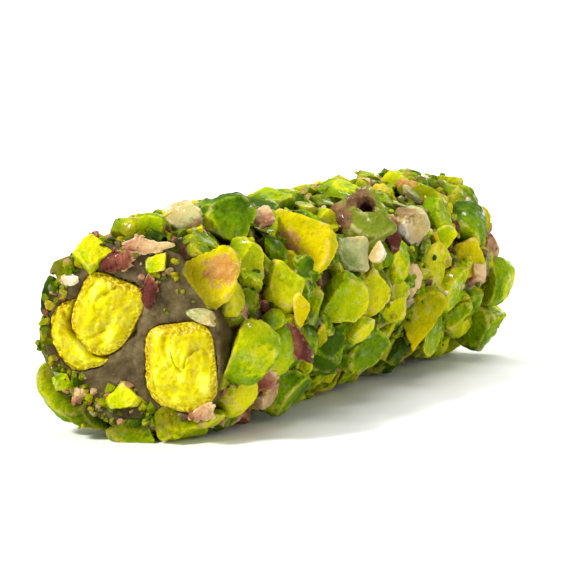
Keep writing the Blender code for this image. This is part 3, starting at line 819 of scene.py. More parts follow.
def pistachio(name, stops, rim_colour, stain_stops, painted_foot_brightness):
    """Nut flesh whose colour is picked by tone from the stops."""
    recipe = Recipe(name)
    tone, cut, rim = recipe.attribute("tone"), recipe.attribute("cut"), recipe.attribute("rim")
    edge, lift, stain = recipe.attribute("edge"), recipe.attribute("lift"), recipe.attribute("stain")
    clouds = recipe.noise(2.4 * MM, detail=3)
    grain = recipe.noise(0.45 * MM, detail=4, roughness=0.65)
    torn = recipe.noise(0.9 * MM, detail=3, roughness=0.6)
    facets = recipe.cells(0.7 * MM)
    wet = recipe.noise(1.3 * MM, detail=2)
    picked = tone + (clouds - 0.5) * 0.50 + (torn - 0.5) * 0.30 + (grain - 0.5) * 0.24
    picked = picked + (1 - cut) * SKIN_SHIFT + edge * torn.between(0.36, 0.56) * EDGE_SHIFT
    flesh = recipe.ramp(picked, *stops)
    pale = rim * RIM_AMOUNT * wet.between(0.44, 0.56) * (tone.between(-0.1, 0.5) * 0.7 + 0.3)
    flesh = recipe.mix(pale, flesh, rim_colour)
    brown = recipe.ramp(torn * 0.5 + clouds * 0.5, *stain_stops)
    # where the stain mark passes 1, in the knob's hole, painted shade replaces the stain
    brown = recipe.mix(stain.between(1.0, 1.5), brown, PAINTED_HOLE_SHADE)
    flesh = recipe.mix((stain + (torn - 0.5) * 0.9 + (grain - 0.5) * 0.4).between(0.18, 0.42), flesh, brown)
    # painted shade: each piece darkens toward its foot, down between the pieces
    painted_foot_shade = lift.between(-0.05, 0.75) * (1 - painted_foot_brightness) + painted_foot_brightness
    shaded = recipe.node("ShaderNodeCombineColor", {}, {0: painted_foot_shade, 1: painted_foot_shade, 2: painted_foot_shade})
    flesh = recipe.mix(1.0, flesh, shaded, blend="MULTIPLY")
    relief = grain * 0.6 + torn * 0.5 + facets * 0.4
    return recipe.finish(Base_Color=flesh, Roughness=0.5 + (grain - 0.5) * 0.4,
                         Normal=recipe.bump(relief, 0.40 * MM, 0.9), Subsurface_Weight=0.10,
                         Subsurface_Radius=(1.0, 0.9, 0.1), Subsurface_Scale=0.5 * MM,
                         Specular_IOR_Level=0.03, Coat_Weight=wet.between(0.56, 0.62) * 0.55,
                         Coat_Roughness=0.10)


GREEN_STOPS = ((0.0, 62, 92, 0), (0.22, 104, 138, 0), (0.48, 148, 174, 0), (0.72, 186, 196, 0),
               (1.0, 222, 216, 20))
YELLOW_STOPS = ((0.0, 140, 146, 0), (0.4, 196, 186, 0), (0.75, 228, 204, 0), (1.0, 244, 228, 40))
OLIVE_STOPS = ((0.0, 84, 88, 20), (0.5, 126, 140, 34), (1.0, 172, 168, 84))
CREAM_STOPS = ((0.0, 122, 142, 60), (0.3, 178, 180, 122), (0.7, 212, 182, 112), (1.0, 240, 228, 204))
SKIN_STOPS = ((0.0, 98, 50, 42), (0.3, 152, 90, 68), (0.65, 188, 142, 100), (1.0, 222, 190, 136))

NUTS = {   # slot, stops, colour of the rims of cuts, and stops of the stains
    "green": ("pistachio_green", GREEN_STOPS, shade(214, 192, 96), BROWN_STOPS),
    "yellow": ("pistachio_yellow", YELLOW_STOPS, shade(232, 196, 100), GOLD_STOPS),
    "olive": ("pistachio_dark", OLIVE_STOPS, shade(206, 196, 130), KNOB_STOPS),
    "cream": ("pistachio_skin", CREAM_STOPS, shade(228, 210, 156), TAN_STOPS),
    "skin": ("pistachio_skin", SKIN_STOPS, shade(226, 190, 150), BROWN_STOPS),
}
# painted shade: a piece darkens toward its foot, down among its neighbours
PAINTED_FOOT_BRIGHTNESS = 0.26                # brightness of a piece's foot, as a share of the rest of it
PAINTED_FOOT_BRIGHTNESS_OF = {"skin": 0.75}
FINISH_OF = {name: (pistachio(f"pistachio {name}", *colours, PAINTED_FOOT_BRIGHTNESS_OF.get(name, PAINTED_FOOT_BRIGHTNESS)), slot)
             for name, (slot, *colours) in NUTS.items()}
print("finishes:", ", ".join(FINISH_OF))

# %% [markdown]
# ## The large pieces
# Eight pieces are as large as small berries, and each is a solid of its own. They get the same shapes and
# finish as the coat, at the finest level of detail and with their stains listed one by one, and they replace
# those solids. The olive knob also has a round hole, which is pushed into it point by point with a pale
# ring round it: a cut would leave a sharper hole than a dried kernel has. The patches of some smaller
# pieces are listed here too.

# %% Model the large pieces
LARGE_PATCHES = {   # of skin: centres as seen by the camera and radii, in shares of the piece's length
    "piece_gold_half": (((0.10, 0.16, 0.25), 0.40),),
    "piece_yellow_shard": (((-0.30, -0.02, 0.30), 0.34),),
    "piece_olive_knob": (((-0.44, 0.02, 0.30), 0.42), ((-0.06, 0.40, 0.10), 0.36)),
}
PLACED_PATCHES = {   # the same for some smaller pieces, found by their place along the roll
    -32.0: (((0.20, -0.12, 0.25), 0.36),),
    14.2: (((-0.12, 0.30, 0.15), 0.42),),
    28.0: (((-0.38, -0.05, 0.20), 0.34),),
}
HOLE_PLACE = (0.08, 0.24)    # in the knob, to the right and up as the camera sees it, in shares of its length
HOLE_RADIUS = 0.125
HOLE_DEPTH = 2.0 * MM
HOLE_AWAY = 0.8              # how much of its depth leads away from the camera, and how much down
HOLE_DOWN = 0.6
HOLE_WALL = 1.3              # steepness
RING_PLACE = 1.25            # of the pale ring, in radii of the hole
RING_WIDTH = 0.22


def with_hole(part, length):
    """Push a round hole into the side of a part that the camera sees, with a pale ring round it and painted
    shade inside it.
    """
    seen = as_seen(part.points, length)
    gap = np.linalg.norm(seen[:, :2] - HOLE_PLACE, axis=1) / HOLE_RADIUS
    front = seen[:, 2] > 0
    share = np.clip(HOLE_WALL - HOLE_WALL * gap ** 3, 0, 1) * front
    push = -(VIEW[:, 2] * HOLE_AWAY + VIEW[:, 1] * HOLE_DOWN) * HOLE_DEPTH
    ring = np.exp(-((gap - RING_PLACE) / RING_WIDTH) ** 2) * front
    # the hole's depth goes into the stain mark, where it paints painted shade
    marks = dict(part.marks, stain=np.maximum(part.marks["stain"], share * 2),
                 rim=np.maximum(part.marks["rim"], ring))
    return Part(part.points + share[:, None] * push, part.faces, marks)


for name, bit in LARGE_PIECES.items():
    part = pressed(bit, shape_for(bit, "large"), patches=LARGE_PATCHES.get(name, ()))
    if name == "piece_olive_knob":
        part = with_hole(part, bit.length * MM)
    joined(name.replace("piece", "chunk"), [part], *FINISH_OF[bit.finish], [name])

# %% [markdown]
# ## The chopped coat
# All the other chopped pieces are joined into one mesh for each finish, because hundreds of separate
# objects would be slow to handle. Those placed one by one get the finest shapes, as the eye goes to them. A
# few bits are stuck on the cut faces instead of the side.

# %% Join the coat
FACE_PROUD = 0.15          # a face piece's centre stands this share of its height out of the face
PEEL_PROUD = 0.35
CHOPPED = {}


def stuck_on_face(bit, shape):
    """A shape as a bit on a cut face, partly sunk in it."""
    spin = np.array(Matrix.Rotation(math.radians(bit.turn), 3, "Z"))
    points = shape.points * np.array((bit.length, bit.width, bit.height)) @ spin.T
    proud = bit.height * (PEEL_PROUD if bit.finish == "skin" else FACE_PROUD)
    points = (points + np.array((bit.across, bit.up, proud))) * MM
    place = np.array(face_frame(bit.end))
    points = points @ place[:3, :3].T + place[:3, 3]
    return marked(points, shape, tone=toned(shape.points, bit, (1, 0, 0)))


for finish, (material, slot) in FINISH_OF.items():
    parts = [pressed(bit, shape_for(bit, "large"), patches=PLACED_PATCHES.get(bit.along))
             for bit in PLACED_PIECES if bit.finish == finish]
    parts += [pressed(bit, shape_for(bit)) for bit in COAT_PIECES if bit.finish == finish]
    CHOPPED[finish] = parts
    on_faces = [stuck_on_face(bit, shape_for(bit)) for bit in FACE_PIECES if bit.finish == finish]
    joined(f"chopped_{finish}", parts + on_faces, material, slot)

# %% [markdown]
# ## Small bits between the pieces
# Between the large bits a real coat is packed with smaller ones, two to five millimetres long. They follow
# a denser lattice, and are left out where a larger piece already covers the place or where they would stand
# out of a cut face. At the front they sit deeper, because the coat thins out there. There are hundreds of
# them, so each is a light version of the same shapes. A few more are placed one by one on or beside the
# large pieces.

# %% Fill the gaps
SMALL_COUNT = 1150
SMALL_SEED = 31
SMALL_SUNK = 0.55 * MM
SMALL_SUNK_AT_FRONT = 1.3 * MM      # before SMALL_FRONT along the axis, where the coat thins out
SMALL_FRONT = -36                   # mm
SMALL_JITTER = 0.8                  # along, in mm
SMALL_WANDER = 6                    # around, in degrees
SMALL_TILT = 28
SMALL_LENGTHS = (2.2, 4.6)
SMALL_HEIGHTS = (0.42, 0.68)        # share of the length
SMALL_CLEAR = 0.23                  # of a piece's length, kept free round its middle
SMALL_CLEAR_LARGE = 0.42
SMALL_MARGIN = 0.006
SMALL_INSIDE = 0.32                 # of its length, kept between a bit's middle and the cut face
SMALL_TONES = (0.05, 0.80)
SMALL_FINISHES = (("green", 68), ("yellow", 8), ("olive", 8), ("cream", 8), ("skin", 8))
SMALL_PLACED = (   # like Bit, after how far each stands off the side, in mm
    (1.8, Bit(3.5, 27, 3.0, 2.4, 1.6, 60, 30, "nugget", 4, "skin", -0.25)),
    (1.6, Bit(-25.6, -9, 5.8, 2.8, 1.2, 300, 45, "flake", 0, "skin", 0.20)),
    (2.2, Bit(-21.5, 57, 3.6, 2.8, 1.4, 30, 30, "nugget", 2, "skin", 0.85)),
    (2.6, Bit(-3.0, 23, 3.0, 2.0, 1.2, 30, 30, "shard", 1, "cream", 0.74)),
    (0.4, Bit(-38.6, 118, 2.6, 1.8, 1.4, 40, 20, "shard", 1, "skin", 0.0)),
    (0.4, Bit(-38.4, 145, 2.2, 1.6, 1.4, 10, 20, "shard", 3, "skin", 0.05)),
    (1.0, Bit(24.0, 44, 2.8, 2.2, 1.4, 10, 10, "nugget", 1, "skin", 0.0)),
    (1.6, Bit(27.6, -1, 3.4, 2.4, 1.6, 70, 30, "nugget", 5, "skin", 0.75)),
    (1.2, Bit(-20.0, 27, 3.6, 2.8, 1.6, 30, 30, "shard", 2, "green", 0.30)),
    (2.4, Bit(-24.5, 6, 4.2, 2.4, 1.4, 80, 40, "shard", 0, "yellow", 0.55)),
    (1.8, Bit(-8.0, -12, 4.2, 3.0, 1.6, 50, 30, "shard", 5, "green", 0.85)),
    (1.6, Bit(2.0, -8, 3.8, 3.0, 1.8, 20, 30, "shard", 1, "green", 0.75)),
    (1.6, Bit(20.0, 24, 4.0, 2.8, 1.6, 30, 30, "shard", 3, "green", 0.70)),
)


def small_bits():
    """Bits like the coat's, on a denser lattice of their own."""
    draw = random.Random(SMALL_SEED)
    kept_clear = [(other, SMALL_CLEAR_LARGE * other.length) for other in LARGE_PIECES.values()]
    kept_clear += [(other, SMALL_CLEAR * other.length) for other in (*PLACED_PIECES, *COAT_PIECES)]
    names, weights = zip(*SMALL_FINISHES)
    tilts = (-SMALL_TILT, SMALL_TILT)
    bits = []
    for share, around, along in lattice(SMALL_COUNT, SMALL_MARGIN, SMALL_WANDER, SMALL_JITTER, draw):
        length = draw.uniform(*SMALL_LENGTHS)
        width, height = length * draw.uniform(*COAT_WIDTHS), length * draw.uniform(*SMALL_HEIGHTS)
        kind = draw.choices(COAT_KINDS, COAT_WEIGHTS)[0]
        finish = draw.choices(names, weights)[0]
        bit = Bit(along, around, length, width, height, draw.uniform(0, 360), draw.uniform(*tilts), kind,
                  draw.randrange(SHAPE_SEEDS), finish, draw.uniform(*SMALL_TONES), draw.uniform(*tilts))
        inside = min(share, 1 - share) * ROLL_LENGTH / MM > SMALL_INSIDE * length
        if inside and all(coat_distance(bit, other) > clear for other, clear in kept_clear):
            bits.append(bit)
    return bits


SMALL = {finish: [] for finish in FINISH_OF}
for bit in small_bits():
    sunk = SMALL_SUNK_AT_FRONT if bit.along < SMALL_FRONT else SMALL_SUNK
    SMALL[bit.finish].append(pressed(bit, shape_for(bit, "small"), sunk))
for stand, bit in SMALL_PLACED:
    SMALL[bit.finish].append(pressed(bit, shape_for(bit), -stand * MM))
for finish, (material, slot) in FINISH_OF.items():
    joined(f"small_{finish}", SMALL[finish], material, slot)

# %% [markdown]
# ## Where the kernels are
# The knife goes through three kernels at each end. Their places and outlines are needed early, because
# nothing else on a cut face may cover them. An outline is a rounded square with two slow waves in it.

# %% Outlines of the kernels
KERNELS = {   # end, then across, up, width, height and depth in mm, lean, narrowing of the lower half, seed
    "kernel_front_left": (-1, (-3.0, 1.8, 7.5, 9.2, 9.5), -26, 0.24, 38),
    "kernel_front_right": (-1, (6.2, -3.9, 8.5, 10.2, 10.0), 3, 0.17, 10),
    "kernel_front_edge": (-1, (-6.2, -0.6, 6.6, 8.2, 8.0), 15, 0.02, 6),
    "kernel_back_left": (1, (-4.9, -2.6, 8.0, 9.4, 9.0), 12, 0.1, 11),
    "kernel_back_right": (1, (4.8, -2.6, 8.2, 9.6, 10.0), -16, 0.0, 14),
    "kernel_back_top": (1, (-0.2, 5.7, 8.8, 6.4, 9.0), 4, 0.0, 17),
}
SQUARENESS = 3                           # 2 would be an ellipse
OUTLINE_WAVES = ((0.04, 3), (0.03, 5))   # height as a share of the outline's reach, and number around


def outline_reach(angle, narrowing, phases):
    """How far the outline of a kernel lies along an angle, as a share of its half width and half height."""
    squarish = (abs(math.cos(angle)) ** SQUARENESS + abs(math.sin(angle)) ** SQUARENESS) ** (-1 / SQUARENESS)
    wavy = 1
    for (height, count), phase in zip(OUTLINE_WAVES, phases):
        wavy += height * math.sin(count * angle + phase)
    return squarish * wavy, 1 + narrowing * math.sin(angle)


def kernel_phases(seed):
    """Where the two waves of the outline and the crack's swing begin."""
    draw = random.Random(seed)
    return [draw.uniform(0, math.tau) for wave in range(3)]


def outline_gap(sizes, lean, narrowing, seed, across, up):
    """Distance in mm from a place on a cut face to the outline of a kernel, negative inside it."""
    spot = Matrix.Rotation(-math.radians(lean), 2) @ Vector((across - sizes[0], up - sizes[1]))
    angle = math.atan2(spot.y / sizes[3], spot.x / sizes[2])
    reach, narrow = outline_reach(angle, narrowing, kernel_phases(seed))
    edge = Vector((sizes[2] / 2 * reach * narrow * math.cos(angle), sizes[3] / 2 * reach * math.sin(angle)))
    return spot.length - edge.length


def kernel_distance(end, across, up):
    """Distance in mm from a place on a cut face to the outline of the nearest kernel, negative inside it."""
    return min(outline_gap(*row[1:], across, up) for row in KERNELS.values() if row[0] == end)


print("kernels:", len(KERNELS))

# %% [markdown]
# ## Crumbs
# The finest of the chopped nuts are crumbs of about a millimetre. They stick wherever something moist faces
# outward, so their places are picked on the outward triangles of the coat, each as often as its area asks
# and its depth between the pieces. The moist cut faces catch crumbs too, coarser ones, most of them near
# the rim and in clumps between the kernels.

# %% Scatter the crumbs
CRUMB_COUNT = 2600
CRUMB_SEED = 44
CRUMB_SIZES = (0.35, 1.25)          # mm
CRUMB_FEW_LARGE = 2.2               # the higher, the fewer of them are large
CRUMB_STAND = 0.12                  # of its size, from the surface to its middle
CRUMB_FINISHES = (("green", 60), ("yellow", 14), ("cream", 12), ("skin", 14))
CRUMB_STRAYS = 0.01                 # how often a crumb lies on top of a piece and not in a gap
CRUMB_FACING = 0.15                 # how much a triangle has to face outward
FLOOR_CLEAR = 0.6 * MM
FACE_CRUMB_COUNT = 560
FACE_CRUMB_SCALE = 1.3              # those on the cut faces are coarser
FACE_CRUMB_REACH = 10.8             # mm from a face's middle to the outermost
FACE_SQUARE = 11                    # mm, half the square in which they are drawn
FACE_BARE = (0.08, 8)               # how often one lies in the middle, and how late that rises to the rim
KERNEL_CLEAR = 0.3                  # mm
CLUMPS = ((-0.8, -7.4), (3.8, 7.4), (-6.8, -6.8), (-8.6, -4.6), (-4.4, -9.2), (-9.4, 4.6), (9.4, -7.0),
          (-7.4, 7.6), (-10.2, 0.2), (2.6, -9.9))
CLUMP_SHARE = 0.45                  # of the face's crumbs
CLUMP_SPREAD = 0.9                  # mm


def scatter_places(parts, count, draw):
    """Places and directions, picked by area on the triangles of the parts that face away from the axis."""
    starts = np.cumsum([0, *[len(part.points) for part in parts[:-1]]])
    points = np.concatenate([part.points for part in parts])
    corners = points[np.concatenate([part.faces + start for part, start in zip(parts, starts)])]
    cross = np.cross(corners[:, 1] - corners[:, 0], corners[:, 2] - corners[:, 0])
    areas = np.linalg.norm(cross, axis=1)
    normals = cross / np.maximum(areas, 1e-12)[:, None]
    middles = corners.mean(axis=1)
    outward = middles - np.array((CENTRE_SHIFT.x, 0, AXIS_HEIGHT)) * (1, 0, 1)
    outward[:, 1] = 0
    outward /= np.linalg.norm(outward, axis=1)[:, None]
    facing = (normals * outward).sum(axis=1) > CRUMB_FACING
    low = 1 - lift_of(middles)
    weights = areas * facing * (middles[:, 2] > FLOOR_CLEAR) * (CRUMB_STRAYS + low ** 2)
    picks = draw.choice(len(areas), size=count, p=weights / weights.sum())
    return middles[picks], normals[picks]


def face_places(count, draw):
    """Places on the cut faces between the kernels, most of them near the rim or in a clump."""
    places, normals = [], []
    often, late = FACE_BARE
    while len(places) < count:
        end = -1 if draw.random() < 0.5 else 1
        if draw.random() < CLUMP_SHARE:
            across, up = draw.normal(CLUMPS[draw.integers(len(CLUMPS))], CLUMP_SPREAD)
            wanted = 1
        else:
            across, up = draw.uniform(-FACE_SQUARE, FACE_SQUARE, 2)
            wanted = often + (math.hypot(across, up) / FACE_CRUMB_REACH) ** late
        kept = math.hypot(across, up) < FACE_CRUMB_REACH and draw.random() < wanted
        if kept and kernel_distance(end, across, up) > KERNEL_CLEAR:
            face = face_frame(end)
            places.append(face @ (Vector((across, up, 0)) * MM))
            normals.append(face.to_3x3() @ Vector((0, 0, 1)))
    return np.array(places), np.array(normals)


def crumb_part(place, normal, size, draw):
    """One crumb: a turned shape of any kind, with flesh all over and a tone of its own."""
    kinds = list(SHAPES)
    shape = SHAPE_BOOK[kinds[draw.integers(len(kinds))], draw.integers(SHAPE_SEEDS)]["crumb"]
    turned = np.array(Euler(draw.uniform(0, math.tau, 3)).to_matrix())
    points = shape.points * size * draw.uniform(0.5, 1.0, 3) @ turned.T + place + normal * size * CRUMB_STAND
    # a crumb's lift is kept at 0.25 or more, so the painted shade at its foot stays light
    return marked(points, shape, tone=draw.uniform(0, 1), cut=1.0, rim=shape.rim * 0.5, edge=0.0,
                  lift=np.maximum(lift_of(points), 0.25))


def crumbs():
    """The crumbs of each finish."""
    draw = np.random.default_rng(CRUMB_SEED)
    parts = [part for group in (*CHOPPED.values(), *SMALL.values()) for part in group]
    names, weights = zip(*CRUMB_FINISHES)
    piles = {name: [] for name in names}
    low, high = CRUMB_SIZES
    for scale, spots in ((1, scatter_places(parts, CRUMB_COUNT, draw)),
                         (FACE_CRUMB_SCALE, face_places(FACE_CRUMB_COUNT, draw))):
        for place, normal in zip(*spots):
            size = scale * (low + (high - low) * draw.random() ** CRUMB_FEW_LARGE) * MM
            finish = names[draw.choice(len(names), p=np.array(weights) / sum(weights))]
            piles[finish].append(crumb_part(place, normal, size, draw))
    return piles


for finish, parts in crumbs().items():
    pile = joined(f"crumbs_{finish}", parts, *FINISH_OF[finish])
    pile.data.shade_flat()

# %% [markdown]
# ## The kernels in the cut faces
# The knife goes through whole kernels, so each face shows three bright yellow ones. A cut kernel isn't
# smooth: its flesh has folds and lumps, a crack runs down its upper half, and its rim is crumbly. It starts
# as a sphere. The half that looks out of the face is flattened to a crowned disc, the other half becomes
# the tail inside the roll, and the relief is then raised on the disc, each part of it a noise at its own
# scale. The same relief, with pale streaks along the kernel, is kept as a mark for the finish, which paints
# it as light and shade: painted highlights on the ridges and streaks, painted shade in the creases and the
# crack.

# %% Model the kernels
KERNEL_CROWN = 0.9 * MM
KERNEL_SEGMENTS = 144
KERNEL_RINGS = 96
TAIL_BLUNTNESS = 2.5
FOLD = (3.4, 8.0, 0.20)    # width, length and depth of a fold, in mm
FOLD_WANDER = (1.2, 3)     # how far a fold strays sideways, and over what length, in mm
CREASE = 0.10              # the noise below which a fold turns down into a crease
LUMPS = ((2.1, 0.34), (0.9, 0.24), (0.45, 0.12))    # size and height of its lumps, in mm
CRACK_DEPTH = 0.45 * MM
CRACK_WIDTH = 0.07         # of the kernel's half width
CRACK_SWING = (0.3, 2.2)   # how far it swings sideways in half widths, and how fast
CRACK_FADE = (1.5, 0.3)    # how fast it fades out below the kernel's middle, and how much is left there
RIM_CRUMBS = 0.5           # size of the crumbs in mm, with finer ones of half that
CRUMB_DEPTH = 0.24 * MM
CRUMB_BAND = 0.78          # the crumbly rim starts at this share of the way out
# the crumbly band at the upper end is also painted darker gold, as painted shade on the top
CRUMBLY_SHADED_TOP = (0.8, 0.60)  # how crumbly the upper end gets, above this share of the half height
GOLDEN_LEFT = 0.5          # the left edge turns golden beyond this share of the half width
# painted highlights: pale streaks along the kernel
HIGHLIGHT_STREAK = (1.1, 4.5)        # width and length in mm of the pale streaks along it
# painted highlights on ridges and streaks, painted shade in creases and the crack
FLESH_TONE = 0.54          # and how much folds, the crack and streaks add to it
FOLD_PAINTED_LIGHT = 0.36
CRACK_PAINTED_SHADE = -0.30
STREAK_PAINTED_HIGHLIGHT = 0.34
TUCKED_DEPTH = 2.4 * MM    # the kernel at the edge goes this far behind its neighbour
TUCKED_WIDTH = 0.45        # mm
EDGE_KERNEL_SET_BACK = 0.25 * MM
EDGE_KERNEL_TONE = -0.12   # on the scale of a fold's height


def folds_at(spot, seed):
    """Height in mm of a cut kernel's flesh: broad lobes with narrow creases between, and lumps all over."""
    stray, over = FOLD_WANDER
    wander = stray * noise.noise(Vector((spot.x / over, spot.y / over, seed + 3)))
    width, length, depth = FOLD
    place = Vector(((spot.x + wander) / width, spot.y / length, seed))
    height = depth * (1 - 2 * max(0, 1 - abs(noise.noise(place)) / CREASE) ** 2)
    for size, swell in LUMPS:
        height += swell * noise.noise(spot / size + Vector((0, 0, seed + 9 * size)))
    return height


def crack_at(x, y, share, phase):
    """1 in the middle of the crack and 0 away from it, at a place in half widths and half heights."""
    swing = CRACK_SWING[0] * math.sin(CRACK_SWING[1] * y + phase)
    crack = math.exp(-((x - swing) / CRACK_WIDTH) ** 2)
    crack *= max(0, min(1, CRACK_FADE[0] * y + CRACK_FADE[1])) * (1 - share ** 8)
    return crack


def model_kernel(name):
    """A cut kernel in its place, with marks for its folds and its edge."""
    end, sizes, lean, narrowing, seed = KERNELS[name]
    across, up, width, height, depth = [value * MM for value in sizes]
    phases = kernel_phases(seed)
    face = face_frame(end)
    turned = Matrix.Rotation(math.radians(lean), 3, "Z")
    start_clean()
    bpy.ops.mesh.primitive_uv_sphere_add(segments=KERNEL_SEGMENTS, ring_count=KERNEL_RINGS, radius=1)
    piece = added(name.replace("kernel", "nut"))
    folds, edges = [], []
    for vert in piece.data.vertices:
        angle = math.atan2(vert.co.y, vert.co.x)
        polar = math.acos(max(-1, min(1, vert.co.z))) / (math.pi / 2)
        share = min(polar, 1)
        inward = max(polar - 1, 0)
        reach, narrow = outline_reach(angle, narrowing, phases)
        tail = math.sqrt(max(0, 1 - inward ** TAIL_BLUNTNESS))
        flat = Vector((width / 2 * reach * share * tail * narrow * math.cos(angle),
                       height / 2 * reach * share * tail * math.sin(angle), 0))
        x, y = share * math.cos(angle), share * math.sin(angle)
        spot = flat / MM
        crack = crack_at(x, y, share, phases[2])
        fold = folds_at(spot, seed)
        highlight_streak = noise.noise(Vector((spot.x / HIGHLIGHT_STREAK[0], spot.y / HIGHLIGHT_STREAK[1], seed + 50)))
        # the band is crumbly relief, and its darker gold at the upper end is painted shade
        band = max(0, share - CRUMB_BAND, CRUMBLY_SHADED_TOP[0] * (y - CRUMBLY_SHADED_TOP[1])) / (1 - CRUMB_BAND)
        crumb = noise.noise(spot / RIM_CRUMBS + Vector((0, 0, seed)))
        crumb += 0.6 * noise.noise(spot / (RIM_CRUMBS / 2))
        out = KERNEL_CROWN * (1 - share ** 3) + fold * MM * (1 - share ** 5) - CRACK_DEPTH * crack
        out += CRUMB_DEPTH * crumb * (0.4 + band)
        if inward > 0:
            out = -depth * inward
        middle = turned @ flat + Vector((across, up, 0))
        if name == "kernel_front_edge":
            gap = outline_gap(*KERNELS["kernel_front_left"][1:], middle.x / MM, middle.y / MM)
            out -= TUCKED_DEPTH * max(0, min(1, 1 - gap / TUCKED_WIDTH)) + EDGE_KERNEL_SET_BACK
            fold += EDGE_KERNEL_TONE
        vert.co = face @ (middle + Vector((0, 0, out)))
        # the fold mark: painted highlights on ridges and streaks, painted shade in creases and the crack
        folds.append(FLESH_TONE + FOLD_PAINTED_LIGHT * fold + CRACK_PAINTED_SHADE * crack + STREAK_PAINTED_HIGHLIGHT * highlight_streak)
        edges.append(min(1, band + (inward > 0) + max(0, -x - GOLDEN_LEFT)))
    for mark, values in (("fold", folds), ("edge", edges)):
        piece.data.attributes.new(mark, "FLOAT", "POINT").data.foreach_set("value", values)
    piece.data.update()
    make_active(piece)
    bpy.ops.object.mode_set(mode="EDIT")
    bpy.ops.mesh.select_all(action="SELECT")
    bpy.ops.mesh.normals_make_consistent(inside=False)
    bpy.ops.object.mode_set(mode="OBJECT")
    bpy.ops.object.shade_smooth()
    return piece


def kernel_finish():
    """Bright yellow, with painted shade that turns creases golden and painted highlights on ridges and
    streaks, speckled with brown along the crumbly rim.
    """
    recipe = Recipe("kernel")
    fold, edge = recipe.attribute("fold"), recipe.attribute("edge")
    clouds = recipe.noise(2.8 * MM, detail=3)
    grain = recipe.noise(0.35 * MM, detail=4, roughness=0.7)
    crumbs = recipe.noise(0.34 * MM, detail=2, roughness=0.6)
    wet = recipe.noise(1.1 * MM, detail=2)
    height = fold + (clouds - 0.5) * 0.7 + (grain - 0.5) * 0.25
    # low fold values pick the golden painted shade, high ones the pale painted highlight
    flesh = recipe.ramp(height, (0.0, 126, 90, 0), (0.26, 184, 162, 0), (0.48, 200, 188, 0),
                        (0.68, 215, 208, 0), (0.84, 244, 240, 84))
    rim = recipe.ramp(crumbs, (0.36, 146, 100, 0), (0.50, 200, 164, 0), (0.64, 234, 222, 70))
    flesh = recipe.mix(edge.between(0.10, 0.95) * 0.75, flesh, rim)
    relief = grain * 0.5 + crumbs * edge * 0.8
    return recipe.finish(Base_Color=flesh, Roughness=0.5 + (grain - 0.5) * 0.3,
                         Normal=recipe.bump(relief, 0.25 * MM, 0.9), Subsurface_Weight=0.10,
                         Subsurface_Radius=(1.0, 0.8, 0.1), Subsurface_Scale=0.6 * MM,
                         Specular_IOR_Level=0.06, Coat_Weight=wet.between(0.46, 0.56) * 0.5,
                         Coat_Roughness=0.22)


KERNEL_FINISH = kernel_finish()
for name in KERNELS:
    dressed(model_kernel(name), KERNEL_FINISH, "kernel", [name])

# %% [markdown]
# ## The Turkish delight
# Under the coat is the delight itself, a soft brown-grey gel. It starts as a cylinder. Its long edges are
# subdivided so that the side can swell and sag, and each end is inset ring by ring, which gives the cut
# faces enough points for a hollow round each kernel and for the drag marks of the knife.

# %% Model the Turkish delight
CORE_SEGMENTS = 144
CORE_CUTS = 70
CAP_RINGS = 34
CAP_STEP = 0.30 * MM
RIM_CHAMFER = 0.18 * MM
SIDE_TOLERANCE = 0.01 * MM
END_TOLERANCE = 0.001      # of the roll's length
GROOVE_DEPTH = 0.18 * MM
GROOVE_WIDTH = 0.38        # mm
LIP = (0.4, 1.1, 0.5)      # height in groove depths, then distance from the kernel and width in mm
POCKET_DEPTH = 1.6 * MM
UNDULATION = 0.16 * MM
UNDULATION_SIZE = 3.5      # mm
DRAG_MARKS = 0.035 * MM
DRAG_LONG = (0.3, 0.1)     # how fast the marks change along the knife's way, for each mm across and up
DRAG_SHORT = (0.8, 2.4)    # the same across its way


def face_relief(end, across, up):
    """How far a place on a cut face stands out of its plane."""
    gap = kernel_distance(end, across, up)
    if gap < 0:
        return -POCKET_DEPTH
    waves = noise.noise(Vector((across, up, 7 * end)) / UNDULATION_SIZE) * UNDULATION
    along = across * DRAG_LONG[0] + up * DRAG_LONG[1]
    drag = noise.noise(Vector((along, up * DRAG_SHORT[1] - across * DRAG_SHORT[0], end))) * DRAG_MARKS
    groove = -GROOVE_DEPTH * math.exp(-(gap / GROOVE_WIDTH) ** 2)
    lip = LIP[0] * GROOVE_DEPTH * math.exp(-((gap - LIP[1]) / LIP[2]) ** 2)
    return waves + drag + groove + lip


